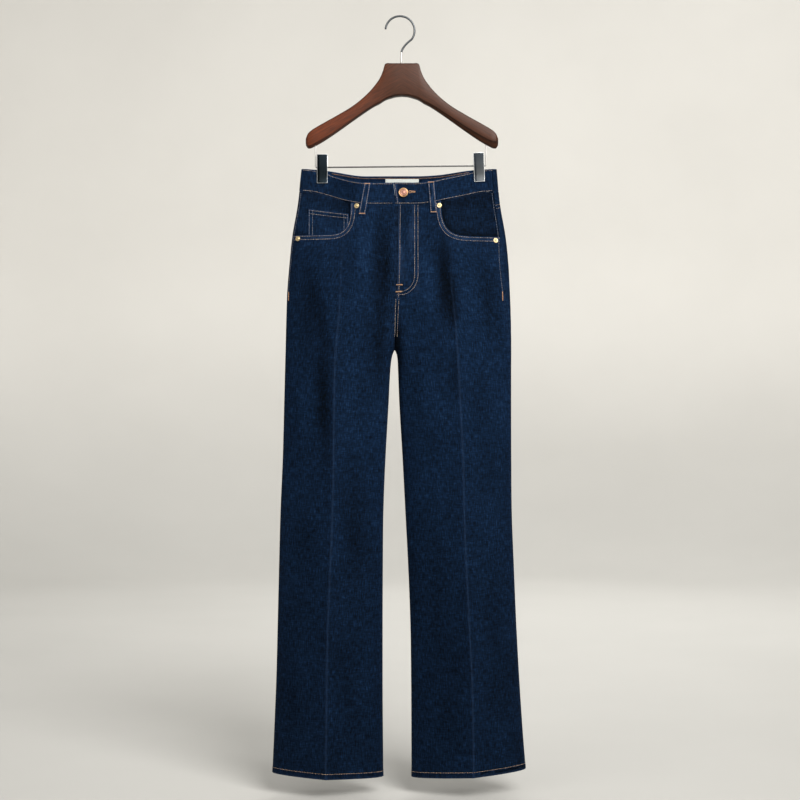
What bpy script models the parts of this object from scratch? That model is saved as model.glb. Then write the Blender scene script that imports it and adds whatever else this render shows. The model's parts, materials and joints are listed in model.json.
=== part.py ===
"""High-rise bootcut jeans, flat and creased, hung by the waistband from a wooden clip hanger.

Sizes are in millimetres and are scaled to metres where meshes are made. The origin is the top of the space
inside the hanger's hook. X runs to the viewer's right, Z up, and the garment's front faces -Y. A drop is a
distance below the origin. Left and right are the viewer's.

The garment is one hollow form, read by form_point(side, turn, drop). The turn goes round one leg:
0 is the inner edge at the front, 1 the front crease, 2 the outer fold, 3 the back crease and 4 the inner
edge at the back. Every panel is a wall cut from that form.
"""

import math

import bmesh
import bpy
import numpy as np
from mathutils import Vector

MM = 0.001

# ---- driving sizes -------------------------------------------------------------------------------------
WALL = 1.2             # denim panel
BAND_WALL = 2.0        # waistband, two layers
SEAM = 0.3             # between pieces
WAIST_DROP = 276.3     # top of the waistband at the sides
BAND_HEIGHT = 40.5
FRONT_DIP = 27.5       # the waistband sags between the clips
BACK_DIP = 10.5
CROTCH_DROP = 605.0
HEM_BAND = 13.0
CLIP_LEFT, CLIP_RIGHT = -143.0, 141.5
CLIP_FLAT = 12.0       # half of the pinched width at a clip
WAIST_CENTRE, WAIST_HALF = -3.0, 177.0
SAG_LEFT, SAG_RIGHT = 0.65, 0.82    # the share of each half over which the waistband sags

# The form's outline and depth, a row for each level.
SECTION_COLUMNS = ("drop", "left_fold", "right_fold", "left_crease", "right_crease", "front", "back",
                   "pressed", "outseam", "inner_round")
SECTIONS = (
    (265, -178.5, 172.6, -103, 86, 22, 17, 0.0, 9, 2.0),
    (275, -180.0, 173.6, -103, 86, 23, 18, 0.0, 9, 2.0),
    (340, -187.0, 179.5, -103, 86, 27, 24, 0.0, 9, 2.0),
    (400, -197.3, 189.8, -104, 88, 31, 31, 0.1, 11, 2.0),
    (450, -202.5, 194.9, -107, 90, 34, 36, 0.4, 14, 2.0),
    (500, -206.5, 197.5, -109, 92, 36, 38, 0.7, 11, 2.1),
    (550, -208.2, 199.3, -112, 97, 38, 38, 0.9, 6, 2.7),
    (605, -209.5, 200.0, -117, 101, 40, 37, 1.0, 1, 4.2),
    (640, -210.4, 200.0, -119, 103, 41, 36, 1.0, 0, 3.6),
    (700, -211.9, 200.0, -120, 106, 42, 35, 1.0, 0, 2.8),
    (800, -214.5, 200.2, -121, 111, 43, 34, 1.0, 0, 2.2),
    (900, -218.7, 201.1, -123, 113, 44, 34, 1.0, 0, 1.9),
    (1000, -221.3, 204.9, -127, 117, 45, 34, 1.0, 0, 1.8),
    (1100, -223.7, 209.1, -131, 122, 46, 35, 1.0, 0, 1.75),
    (1200, -226.2, 214.5, -133, 127, 47, 36, 1.0, 0, 1.75),
    (1300, -230.2, 221.1, -134, 129, 48, 37, 1.0, 0, 1.75),
    (1390, -234.2, 228.4, -135, 130, 49, 38, 1.0, 0, 1.75),
)

# The centre line of the rise: its place across and the depth of the front and back there.
RISE_COLUMNS = ("drop", "centre", "front_y", "back_y")
RISE = (
    (265, -3.0, -21, 16),
    (340, -4.5, -25, 23),
    (400, -5.5, -29, 31),
    (450, -6.0, -31, 35),
    (500, -7.5, -29, 36),
    (550, -9.8, -21, 32),
    (575, -10.6, -13, 25),
    (592, -11.2, -3, 17),
    (605, -11.5, 7.1, 8.9),
)

# The inner edges of the legs below the rise.
LEG_COLUMNS = ("drop", "left_inner", "right_inner", "inner_y")
LEGS = (
    (605, -12.4, -10.6, 8.0),
    (612, -15.5, -7.5, 7.0),
    (625, -18.3, -5.6, 5.5),
    (640, -19.8, -4.9, 4.0),
    (700, -22.9, -2.6, 0.0),
    (800, -28.5, 3.2, 0.0),
    (900, -32.4, 8.4, 0.0),
    (1000, -33.4, 13.6, 0.0),
    (1100, -33.8, 17.4, 0.0),
    (1200, -33.8, 18.8, 0.0),
    (1390, -32.4, 19.6, 0.0),
)

# Soft troughs that run down the cloth. Depth is how far the cloth dips in, or stands out when negative.
FOLD_COLUMNS = ("face", "top_x", "bottom_x", "top", "bottom", "half_width", "depth")
FOLDS = (
    ("front", -38, -44, 335, 560, 11, 3.2),
    ("front", -62, -78, 350, 540, 13, -1.8),
    ("front", 68, 88, 395, 590, 14, 4.0),
    ("front", 40, 52, 380, 570, 16, -1.8),
    ("front", -158, -176, 430, 640, 17, 3.0),
    ("front", 150, 168, 440, 620, 16, 2.4),
    ("back", -52, -70, 552, 740, 16, 3.4),
    ("back", 44, 66, 556, 730, 16, 3.2),
    ("back", -166, -176, 552, 720, 17, 3.0),
    ("back", 160, 168, 560, 710, 16, 2.6),
)

# Pocket openings: how far the scoop reaches from the fold, its end on the side, and how square its corner is.
SCOOP_COLUMNS = ("side", "end_x", "side_drop", "square_x", "square_drop")
SCOOPS = (
    ("left", -90.5, 398.0, 9.0, 2.5),
    ("right", 72.0, 401.0, 7.0, 2.5),
)

HEM_COLUMNS = ("side", "inner_drop", "outer_drop")
HEMS = (
    ("left", 1379.5, 1372.5),
    ("right", 1380.5, 1365.5),
)


# ---- reading the tables --------------------------------------------------------------------------------
def smooth_reader(columns, rows, column):
    """A smooth curve through one column of a table, read by drop."""
    drops = np.array([row[0] for row in rows], float)
    values = np.array([row[columns.index(column)] for row in rows], float)
    slopes = np.diff(values) / np.diff(drops)
    tangents = np.empty(len(values))
    tangents[1:-1] = (slopes[1:] + slopes[:-1]) / 2
    tangents[0], tangents[-1] = slopes[0], slopes[-1]
    # A turning point stays where the table has it.
    tangents[1:-1][slopes[1:] * slopes[:-1] <= 0] = 0

    def read(drop):
        drop = np.clip(np.asarray(drop, float), drops[0], drops[-1])
        i = np.clip(np.searchsorted(drops, drop) - 1, 0, len(drops) - 2)
        span = drops[i + 1] - drops[i]
        t = (drop - drops[i]) / span
        return (values[i] * (1 + 2 * t) * (1 - t) ** 2 + values[i + 1] * t * t * (3 - 2 * t)
                + tangents[i] * span * t * (1 - t) ** 2 - tangents[i + 1] * span * t * t * (1 - t))

    return read


SECTION = {name: smooth_reader(SECTION_COLUMNS, SECTIONS, name) for name in SECTION_COLUMNS[1:]}
CENTRE = {name: smooth_reader(RISE_COLUMNS, RISE, name) for name in RISE_COLUMNS[1:]}
INNER = {name: smooth_reader(LEG_COLUMNS, LEGS, name) for name in LEG_COLUMNS[1:]}
SIGN = {"left": -1, "right": 1}


def ease(t):
    t = np.clip(t, 0, 1)
    return t * t * (3 - 2 * t)


def mix(a, b, t):
    return a + (b - a) * t


# ---- the form ------------------------------------------------------------------------------------------
VALLEY_TOP, VALLEY_BOTTOM = 440, 600    # where the centre turns from flat to the fold between the legs
PINCH_FULL, PINCH_END = 305, 440        # the clips hold the front and back together down to here


def pinch(x, drop):
    """1 where a clip holds the two layers together, 0 where they hang free."""
    grip = np.zeros_like(x)
    for clip, outward in ((CLIP_LEFT, -1), (CLIP_RIGHT, 1)):
        away = (x - clip) * outward
        reach = np.where(away > 0, 85, 62)
        grip = np.maximum(grip, 1 - ease((np.abs(away) - CLIP_FLAT) / reach))
    return grip * (1 - ease((drop - PINCH_FULL) / (PINCH_END - PINCH_FULL)))


def fold_depth(face, x, drop):
    total = np.zeros_like(x)
    for kind, top_x, bottom_x, top, bottom, half_width, depth in FOLDS:
        if kind != face:
            continue
        t = np.clip((drop - top) / (bottom - top), 0, 1)
        across = (x - mix(top_x, bottom_x, t)) / half_width
        total += depth * np.sin(np.pi * t) ** 1.2 * np.exp(-across ** 2)
    return total


def half_point(side, face, step, drop):
    """A point of one half ring: step 0 is the inner edge, 1 the crease, 2 the outer fold."""
    fold = SECTION[side + "_fold"](drop)
    crease = SECTION[side + "_crease"](drop)
    pressed = SECTION["pressed"](drop) * (1.0 if face == "front" else 0.75)
    depth = SECTION[face](drop)
    above = drop <= CROTCH_DROP
    inner = np.where(above, CENTRE["centre"](drop) + SIGN[side] * SEAM / 2, INNER[side + "_inner"](drop))
    outward = -1 if face == "front" else 1
    inner_y = np.where(above, CENTRE[face + "_y"](drop), INNER["inner_y"](drop))
    round_x = mix(2.0, 1.04, pressed)
    round_y = mix(2.0, 1.75, pressed)
    quarter = np.where(step <= 1, step, 2 - step)
    angle = np.clip(quarter, 0, 1) * math.pi / 2
    across = 1 - np.cos(angle) ** (2 / round_x)
    height = np.sin(angle) ** (2 / round_y)
    steep = np.sin(angle) ** (2 / SECTION["inner_round"](drop))
    valley = ease((drop - VALLEY_TOP) / (VALLEY_BOTTOM - VALLEY_TOP))
    inner_across = mix(quarter, across, valley)
    inner_height = mix(ease(quarter), steep, valley)
    is_inner = step <= 1
    x = np.where(is_inner, mix(inner, crease, inner_across), mix(fold, crease, across))
    y = np.where(is_inner, mix(inner_y, outward * depth, inner_height), outward * depth * height)
    grip = pinch(x, drop)
    lie_flat = np.where(is_inner, 1.0, 1 - (1 - height) ** 3)
    apart = BAND_WALL / 2 + SEAM / 2
    y = y * (1 - grip) + outward * apart * lie_flat * grip
    cushion = np.where(is_inner, mix(1, height, valley), height)
    y = y - outward * fold_depth(face, x, drop) * cushion * (1 - grip)
    return np.stack([x, y, -drop + 0 * x], axis=-1)


def form_point(side, turn, drop):
    turn, drop = np.broadcast_arrays(np.asarray(turn, float), np.asarray(drop, float))
    front = half_point(side, "front", np.clip(turn, 0, 2), drop)
    back = half_point(side, "back", np.clip(4 - turn, 0, 2), drop)
    return np.where((turn <= 2)[..., None], front, back)


def form_normal(side, turn, drop):
    """The outward direction. Along the centre seams it keeps to the plane of the seam."""
    turn, drop = np.broadcast_arrays(np.asarray(turn, float), np.asarray(drop, float))
    round_step = form_point(side, np.clip(turn + 0.04, 0, 4), drop) - form_point(
        side, np.clip(turn - 0.04, 0, 4), drop)
    below_crotch = drop > CROTCH_DROP
    low = np.where(below_crotch, CROTCH_DROP + 0.01, 0)
    high = np.where(below_crotch, 1e9, CROTCH_DROP)
    down_step = form_point(side, turn, np.clip(drop + 2, low, high)) - form_point(
        side, turn, np.clip(drop - 2, low, high))
    normal = -SIGN[side] * np.cross(round_step, down_step)
    inner_edge = (turn < 0.001) | (turn > 3.999)
    outward = np.where(turn <= 2, -1.0, 1.0)
    tilt = np.stack([0 * turn, outward, outward * down_step[..., 1] / np.abs(down_step[..., 2])], axis=-1)
    normal = np.where((inner_edge & ~below_crotch)[..., None], tilt, normal)
    normal = np.where((inner_edge & below_crotch)[..., None], np.array([-SIGN[side], 0.0, 0.0]), normal)
    return normal / np.linalg.norm(normal, axis=-1, keepdims=True)


def turn_at(side, face, x, drop):
    """The turn at which the form's front or back lies at a given x."""
    x, drop = np.broadcast_arrays(np.asarray(x, float), np.asarray(drop, float))
    low, high = np.zeros(x.shape), np.full(x.shape, 2.0)
    for _ in range(34):
        middle = (low + high) / 2
        inside = (half_point(side, face, middle, drop)[..., 0] - x) * SIGN[side] < 0
        low, high = np.where(inside, middle, low), np.where(inside, high, middle)
    step = (low + high) / 2
    return step if face == "front" else 4 - step


def side_of(x, drop):
    return np.where(x < CENTRE["centre"](drop), "left", "right")


def form_at(face, x, drop):
    """The form's point and outward direction at a place on its front or back."""
    x, drop = np.broadcast_arrays(np.asarray(x, float), np.asarray(drop, float))
    points, normals = np.zeros(x.shape + (3,)), np.zeros(x.shape + (3,))
    for side in SIGN:
        here = side_of(x, drop) == side
        if here.any():
            turn = turn_at(side, face, x[here], drop[here])
            points[here] = form_point(side, turn, drop[here])
            normals[here] = form_normal(side, turn, drop[here])
    return points, normals


# ---- edges of the pieces -------------------------------------------------------------------------------
def band_sag(x):
    """0 at the clips' outer sides, 1 across the middle, as the waistband sags between the clips."""
    return ease((0.98 - np.abs((x - WAIST_CENTRE) / WAIST_HALF)) / np.where(x < WAIST_CENTRE, SAG_LEFT, SAG_RIGHT))


def band_top(face, x):
    return WAIST_DROP + (FRONT_DIP if face == "front" else BACK_DIP) * band_sag(x)


def waist_seam(face, x):
    extra = -1.5 if face == "front" else 0.0
    return band_top(face, x) + BAND_HEIGHT + extra * band_sag(x)


YOKE_SIDE, YOKE_CENTRE = 20.0, 66.0     # the yoke's height at the side and at the centre back


def yoke_seam(x):
    reach = np.clip(np.abs(x - WAIST_CENTRE) / 190, 0, 1)
    return waist_seam("back", x) + mix(YOKE_CENTRE, YOKE_SIDE, reach ** 0.9)


def outseam_turn(side, drop):
    if side == "left":
        return 2.0 + 0 * np.asarray(drop, float)
    fold = SECTION["right_fold"](drop)
    return turn_at(side, "front", fold - np.maximum(SECTION["outseam"](drop), 0.02), drop)


# ---- making walls --------------------------------------------------------------------------------------
def hex_to_linear(colour):
    channels = [int(colour[i:i + 2], 16) / 255 for i in (1, 3, 5)]
    return tuple(c / 12.92 if c < 0.04 else ((c + 0.055) / 1.055) ** 2.4 for c in channels) + (1.0,)


def material(name, colour, roughness, metallic=0.0):
    made = bpy.data.materials.new(name)
    made.use_nodes = True
    shader = made.node_tree.nodes["Principled BSDF"]
    shader.inputs["Base Color"].default_value = hex_to_linear(colour)
    shader.inputs["Roughness"].default_value = roughness
    shader.inputs["Metallic"].default_value = metallic
    made.diffuse_color = hex_to_linear(colour)
    return made


def add_object(name, bm, finish, smooth_angle=40):
    bmesh.ops.recalc_face_normals(bm, faces=bm.faces)
    mesh = bpy.data.meshes.new(name)
    bm.to_mesh(mesh)
    bm.free()
    mesh.shade_smooth()
    mesh.set_sharp_from_angle(angle=math.radians(smooth_angle))
    made = bpy.data.objects.new(name, mesh)
    bpy.context.scene.collection.objects.link(made)
    made.data.materials.append(finish)
    return made


def add_wall(name, points, normals, outer, inner, finish, centre_limit=None):
    """A closed wall: a grid of points on the form, moved out and in along its outward directions."""
    outer = np.broadcast_to(np.asarray(outer, float), points.shape[:2])[..., None]
    inner = np.broadcast_to(np.asarray(inner, float), points.shape[:2])[..., None]
    skins = [points + normals * outer, points + normals * inner]
    if centre_limit is not None:
        side, limit = centre_limit
        for skin in skins:
            x = skin[..., 0]
            x[...] = np.minimum(x, limit - SEAM / 2) if side == "left" else np.maximum(x, limit + SEAM / 2)
    rows, columns = points.shape[:2]
    bm = bmesh.new()
    verts = [[[bm.verts.new(Vector(skin[r, c]) * MM) for c in range(columns)] for r in range(rows)]
             for skin in skins]
    for layer in verts:
        for r in range(rows - 1):
            for c in range(columns - 1):
                bm.faces.new((layer[r][c], layer[r][c + 1], layer[r + 1][c + 1], layer[r + 1][c]))
    rim = ([(0, c) for c in range(columns)] + [(r, columns - 1) for r in range(1, rows)]
           + [(rows - 1, c) for c in range(columns - 2, -1, -1)] + [(r, 0) for r in range(rows - 2, 0, -1)])
    for here, after in zip(rim, rim[1:] + rim[:1]):
        bm.faces.new((verts[0][here[0]][here[1]], verts[1][here[0]][here[1]],
                      verts[1][after[0]][after[1]], verts[0][after[0]][after[1]]))
    bmesh.ops.triangulate(bm, faces=bm.faces)
    return add_object(name, bm, finish)


def trim_edges(points, edges):
    """Moves the grid's named edges in by half a seam, so that neighbours stay a seam apart."""
    def pull(edge, beside):
        away = beside - edge
        return edge + away / np.linalg.norm(away, axis=-1, keepdims=True) * SEAM / 2

    trimmed = points.copy()
    if "top" in edges:
        trimmed[0] = pull(points[0], points[1])
    if "bottom" in edges:
        trimmed[-1] = pull(points[-1], points[-2])
    if "first" in edges:
        trimmed[:, 0] = pull(trimmed[:, 0], trimmed[:, 1])
    if "last" in edges:
        trimmed[:, -1] = pull(trimmed[:, -1], trimmed[:, -2])
    return trimmed


# ---- finishes ------------------------------------------------------------------------------------------
DENIM = material("dark indigo denim", "#141d31", 0.85)
DENIM_INSIDE = material("denim, inner side out", "#3a4560", 0.88)
COTTON_TAPE = material("white cotton tape", "#e6e3dc", 0.8)
COPPER = material("rose copper", "#b97a5e", 0.32, 1.0)
BRASS = material("pale brass", "#c9ab74", 0.3, 1.0)
WALNUT = material("dark walnut", "#4a2415", 0.42)
CHROME = material("polished chrome", "#d4d6d8", 0.12, 1.0)
STEEL = material("dark plated steel", "#59606a", 0.28, 1.0)


# ---- front and back panels -----------------------------------------------------------------------------
SEAM_COLUMNS, CREASE_IN_SCOOP = 6, 3
SCOOP_SHARES = (0, 0.02, 0.09, 0.22, 0.42, 0.62, 0.79, 0.91, 1)    # of the opening's width, at its columns
SCOOP_STEPS = len(SCOOP_SHARES) - 1
# Columns at the waist, out to the side, with one at each end of the flat stretch that a clip holds.
WAIST_STATIONS = {"left": (-117.0, -131.0, -155.0, -167.0, -176.5), "right": (97.0, 116.0, 129.5, 153.5, 162.0)}
BACK_INNER_COLUMNS, BACK_OUTER_COLUMNS = 6, 6
RISE_ROWS, LEG_ROWS, YOKE_TO_SCOOP_ROWS = 8, 14, 3
CROTCH_STEPS = (7, 20, 40)      # rows just below the crotch, where the legs part quickly
LAP_RISE, LAP_WIDTH, LAP_END = 1.0, 26.0, 520.0    # the right front laps over the left at the fly


def settle_drop(side, turn, edge):
    """The drop at which an edge given across the garment meets a turn."""
    drop = np.full(np.shape(turn), 340.0)
    for _ in range(6):
        drop = edge(form_point(side, turn, drop)[..., 0])
    return drop


def scoop_row(side):
    return dict(zip(SCOOP_COLUMNS, SCOOPS[0 if side == "left" else 1]))


def scoop_edge(side, shares):
    """Places along a pocket opening, from the waist seam to the side, at shares of its width."""
    row = scoop_row(side)
    start = waist_seam("front", row["end_x"]) + SEAM / 2
    end_turn = outseam_turn(side, row["side_drop"])
    end_x = float(form_point(side, end_turn, row["side_drop"])[0])
    shares = np.array(shares, float)
    angle = np.arccos((1 - shares) ** (row["square_x"] / 2))
    x = row["end_x"] + (end_x - row["end_x"]) * shares
    drop = start + (row["side_drop"] - start) * np.sin(angle) ** (2 / row["square_drop"])
    return x, drop


def scoop_drop(side, x):
    """The drop of the pocket opening's edge below a given x."""
    edge_x, edge_drop = scoop_edge(side, np.linspace(0, 1, 81) ** 2)
    order = np.argsort(edge_x)
    return np.interp(x, edge_x[order], edge_drop[order])


def front_seam_turns(side):
    end_x = scoop_row(side)["end_x"]
    end_turn = float(turn_at(side, "front", end_x, waist_seam("front", end_x)))
    return np.linspace(0, end_turn, SEAM_COLUMNS + 1)


def waist_turns(side, face, inner_turns, drop):
    """Columns of a piece at the waist: its inner ones, the stations round the clip and the outseam."""
    stations = turn_at(side, face, np.array(WAIST_STATIONS[side]), drop)
    return np.concatenate([inner_turns, stations, [float(outseam_turn(side, drop))]])


def back_turns(side, drop):
    """Columns of a back piece, from the centre to the outseam."""
    inner = np.linspace(4, 3, BACK_INNER_COLUMNS + 1)
    share = np.linspace(0, 1, BACK_OUTER_COLUMNS + 1)[1:]
    side_turn = outseam_turn(side, drop)
    outer = 3 - share * (3 - np.asarray(side_turn)[..., None])
    return np.concatenate([np.broadcast_to(inner, outer.shape[:-1] + inner.shape), outer], axis=-1)


def hem_drop(side, turn):
    row = dict(zip(HEM_COLUMNS, HEMS[0 if side == "left" else 1]))
    low = form_point(side, turn, 1370)[..., 0]
    inner = form_point(side, 0, 1370)[0]
    fold = form_point(side, 2, 1370)[0]
    return mix(row["inner_drop"], row["outer_drop"], (low - inner) / (fold - inner))


def leg_levels(hem):
    """Drops of the rows below the crotch, for each column's own hem. The last three rows make the hem band."""
    band_top = hem - HEM_BAND
    first = CROTCH_DROP + CROTCH_STEPS[-1]
    even = [mix(first, band_top - 1, (i + 1) / LEG_ROWS) for i in range(LEG_ROWS)]
    return [CROTCH_DROP + step + 0 * hem for step in CROTCH_STEPS] + even + [band_top, hem]


def lap_rise(x, drop):
    """How far the right front stands out over the fly."""
    near = 1 - ease((x - CENTRE["centre"](drop)) / LAP_WIDTH)
    return LAP_RISE * near * (1 - ease((drop - LAP_END + 60) / 60))


def rise_levels(side, face):
    """Drops of the rows above the crotch, at the outseam, where the front and back share them."""
    start = scoop_row(side)["side_drop"]
    shared = [mix(start, CROTCH_DROP, i / RISE_ROWS) for i in range(RISE_ROWS + 1)]
    if face == "front":
        return shared
    top = float(settle_drop(side, outseam_turn(side, 340.0), yoke_seam)) + SEAM / 2
    return [mix(top, start, i / YOKE_TO_SCOOP_ROWS) for i in range(YOKE_TO_SCOOP_ROWS)] + shared


def leg_panel(name, side, face, top_turn, top_drop, low_turns):
    """A front or back panel: rows from its top edge to the crotch, then down to the hem."""
    turns, drops = [], []
    levels = rise_levels(side, face)
    for level in levels:
        v = (level - levels[0]) / (CROTCH_DROP - levels[0])
        drop = mix(top_drop, CROTCH_DROP, v)
        turns.append(mix(top_turn, low_turns(drop), ease(v)))
        drops.append(drop)
    hem = hem_drop(side, low_turns(np.full(top_turn.shape, CROTCH_DROP)))
    for drop in leg_levels(hem):
        turns.append(low_turns(drop))
        drops.append(drop)
    turns, drops = np.array(turns), np.array(drops)
    turns[:, -1] = outseam_turn(side, drops[:, -1])
    points, normals = form_point(side, turns, drops), form_normal(side, turns, drops)
    trimmed = trim_edges(points, ("first", "last"))
    below = np.arange(len(points)) >= len(levels)
    points[:, -1] = trimmed[:, -1]
    points[below, 0] = trimmed[below, 0]
    outer = np.full(turns.shape, WALL / 2)
    inner = np.full(turns.shape, -WALL / 2)
    outer[-2:] += 0.3
    inner[-2:] -= 0.9
    if face == "front" and side == "right":
        rise = lap_rise(points[..., 0], drops)
        outer, inner = outer + rise, inner + rise
    limit = np.where(drops <= CROTCH_DROP, CENTRE["centre"](drops), SIGN[side] * -1e6)
    return add_wall(name, points, normals, outer, inner, DENIM, (side, limit))


def front_panel(side):
    seam_turns = front_seam_turns(side)
    seam_drops = settle_drop(side, seam_turns, lambda x: waist_seam("front", x)) + SEAM / 2
    x, drop = scoop_edge(side, SCOOP_SHARES)
    scoop_turns = turn_at(side, "front", x, drop)
    top_turn = np.concatenate([seam_turns, scoop_turns[1:]])
    top_drop = np.concatenate([seam_drops, drop[1:]])
    inner = SEAM_COLUMNS + CREASE_IN_SCOOP
    outer = SCOOP_STEPS - CREASE_IN_SCOOP

    def low_turns(drops):
        side_turn = outseam_turn(side, drops[..., -1])
        share = np.linspace(0, 1, outer + 1)[1:]
        near = np.broadcast_to(np.linspace(0, 1, inner + 1), drops.shape[:-1] + (inner + 1,))
        far = 1 + share * (np.asarray(side_turn)[..., None] - 1)
        return np.concatenate([near, far], axis=-1)

    return leg_panel("front_panel_" + side, side, "front", top_turn, top_drop, low_turns)


def back_panel(side):
    top_turn = back_turns(side, 360.0)
    top_drop = settle_drop(side, top_turn, yoke_seam) + SEAM / 2

    def low_turns(drops):
        return back_turns(side, drops[..., -1])

    return leg_panel("back_panel_" + side, side, "back", top_turn, top_drop, low_turns)


def yoke(side):
    top_turn = waist_turns(side, "back", np.linspace(4, 3, BACK_INNER_COLUMNS + 1), 325.0)
    bottom_turn = back_turns(side, 360.0)
    top = settle_drop(side, top_turn, lambda x: waist_seam("back", x)) + SEAM / 2
    bottom = settle_drop(side, bottom_turn, yoke_seam) - SEAM / 2
    share = np.linspace(0, 1, 4)[:, None]
    turns, drops = mix(top_turn, bottom_turn, share), mix(top, bottom, share)
    turns[:, -1] = outseam_turn(side, drops[:, -1])
    points, normals = form_point(side, turns, drops), form_normal(side, turns, drops)
    points = np.where(np.arange(points.shape[1])[:, None] == points.shape[1] - 1,
                      trim_edges(points, ("last",)), points)
    limit = CENTRE["centre"](drops)
    return add_wall("yoke_" + side, points, normals, WALL / 2, -WALL / 2, DENIM, (side, limit))


# ---- waistband -----------------------------------------------------------------------------------------
FLY_TOP_X, FLY_BOTTOM_X = -14.0, -8.0       # the lapped end of the waistband leans
BAND_ROWS = 4


def band_front(side):
    turns = waist_turns(side, "front", front_seam_turns(side)[1:], 325.0)
    bottom = settle_drop(side, turns, lambda x: waist_seam("front", x)) - SEAM / 2
    top = settle_drop(side, turns, lambda x: band_top("front", x))
    share = np.linspace(0, 1, BAND_ROWS)[:, None]
    drops = mix(top, bottom, share)
    turns = np.broadcast_to(turns, drops.shape).copy()
    turns[:, -1] = outseam_turn(side, drops[:, -1])
    points, normals = form_point(side, turns, drops), form_normal(side, turns, drops)
    end_x = mix(FLY_TOP_X, FLY_BOTTOM_X, share[:, 0])
    end_drop = mix(band_top("front", end_x), waist_seam("front", end_x) - SEAM / 2, share[:, 0])
    end_points, end_normals = form_at("front", end_x, end_drop)
    points = np.concatenate([end_points[:, None], points], axis=1)
    normals = np.concatenate([end_normals[:, None], normals], axis=1)
    drops = np.concatenate([end_drop[:, None], drops], axis=1)
    points = trim_edges(points, ("first", "last"))
    lift = lap_rise(points[..., 0], drops) if side == "right" else 0
    return add_wall("waistband_front_" + side, points, normals, BAND_WALL / 2 + lift, -BAND_WALL / 2 + lift,
                    DENIM)


def band_back():
    halves = []
    for side in ("left", "right"):
        turns = waist_turns(side, "back", np.linspace(4, 3, BACK_INNER_COLUMNS + 1), 325.0)
        bottom = settle_drop(side, turns, lambda x: waist_seam("back", x)) - SEAM / 2
        top = settle_drop(side, turns, lambda x: band_top("back", x))
        drops = mix(top, bottom, np.linspace(0, 1, BAND_ROWS)[:, None])
        turns = np.broadcast_to(turns, drops.shape).copy()
        turns[:, -1] = outseam_turn(side, drops[:, -1])
        points, normals = form_point(side, turns, drops), form_normal(side, turns, drops)
        points[:, -1] = trim_edges(points, ("last",))[:, -1]
        halves.append((points, normals))
    (left, left_normals), (right, right_normals) = halves
    middle = (left[:, :1] + right[:, :1]) / 2
    points = np.concatenate([left[:, :0:-1], middle, right[:, 1:]], axis=1)
    normals = np.concatenate([left_normals[:, ::-1], right_normals[:, 1:]], axis=1)
    return add_wall("waistband_back", points, normals, BAND_WALL / 2, -BAND_WALL / 2, DENIM)


# ---- pieces that lie on or behind the panels -----------------------------------------------------------
PATCH_GAP = 0.4
COIN_WALL = 1.0
COIN_GAP = 0.75
FACING_MARGIN = 24.0       # how far a facing runs on behind the front panel
FACING_ROWS = 8
FACING_SIDE = 16.0         # the facing comes up level with the front beside the outseam
FACING_DEPTH = {"left": 3.7, "right": 2.8}


def facing_lift(side, x, drop):
    """How far a facing lies in from the form: level at the waist seam, behind the front at the opening."""
    end_x = scoop_row(side)["end_x"]
    seam = waist_seam("front", x)
    down = (drop - seam) / np.maximum(scoop_drop(side, x) - seam - 6, 4)
    beside = 1 - (x - end_x) * SIGN[side] / 30
    fold = form_point(side, outseam_turn(side, drop), drop)[..., 0]
    near_side = ease((fold - x) * SIGN[side] / FACING_SIDE)
    return -FACING_DEPTH[side] * np.maximum(ease(down), ease(beside)) * near_side


def pocket_facing(side):
    """The denim behind a scoop, from the waist seam to a margin behind the front panel."""
    row = scoop_row(side)
    turns = waist_turns(side, "front", front_seam_turns(side)[-2:], 325.0)
    seam_drops = settle_drop(side, turns, lambda x: waist_seam("front", x)) + SEAM / 2
    top_x = form_point(side, turns, seam_drops)[..., 0]
    reach = (top_x - top_x[0]) / (top_x[-1] - top_x[0])
    beside = (np.arange(len(turns)) >= len(turns) - 2)
    points, normals, lifts = [], [], []
    for i in range(FACING_ROWS):
        v = i / (FACING_ROWS - 1)
        x, drop = top_x, seam_drops
        for _ in range(3):
            edge = np.where((x - row["end_x"]) * SIGN[side] < 12, row["side_drop"] - 6, scoop_drop(side, x))
            drop = mix(seam_drops, edge + np.where(beside, -2 * SEAM, FACING_MARGIN), v)
            side_turn = outseam_turn(side, drop)
            fold_x = form_point(side, side_turn, drop)[..., 0]
            x = top_x[0] + reach * (fold_x - top_x[0])
        turn = turns if i == 0 else turn_at(side, "front", x, drop)
        turn[-1] = side_turn[-1]
        points.append(form_point(side, turn, drop))
        normals.append(form_normal(side, turn, drop))
        lifts.append(facing_lift(side, x, drop))
    points, normals, lifts = np.array(points), np.array(normals), np.array(lifts)
    points = trim_edges(trim_edges(points, ("last",)), ("last",))
    return add_wall("pocket_facing_" + side, points, normals, lifts + WALL / 2, lifts - WALL / 2, DENIM)


def lying_grid(face, columns, rows, place, lift=None):
    """Points and directions of a piece on the front or back: place(u, v) gives its x and drop."""
    u, v = np.meshgrid(np.linspace(-1, 1, columns), np.linspace(0, 1, rows))
    x, drop = place(u, v)
    points, normals = form_at(face, x, drop)
    if lift is not None:
        points = points + normals * np.asarray(lift(x, drop, v))[..., None]
    return points, normals


COIN_LEFT, COIN_RIGHT = -168.5, -95.0
COIN_TOP_LEFT, COIN_TOP_RIGHT, COIN_BOTTOM = 349.5, 359.5, 405.0


def coin_pocket():
    def place(u, v):
        x = mix(COIN_LEFT, COIN_RIGHT, (u + 1) / 2)
        return x, mix(mix(COIN_TOP_LEFT, COIN_TOP_RIGHT, (u + 1) / 2), COIN_BOTTOM, v)

    def lift(x, drop, v):
        return facing_lift("left", x, drop) + WALL / 2 + COIN_WALL / 2 + COIN_GAP

    points, normals = lying_grid("front", 8, 6, place, lift)
    return add_wall("coin_pocket", points, normals, COIN_WALL / 2, -COIN_WALL / 2, DENIM)


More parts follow.
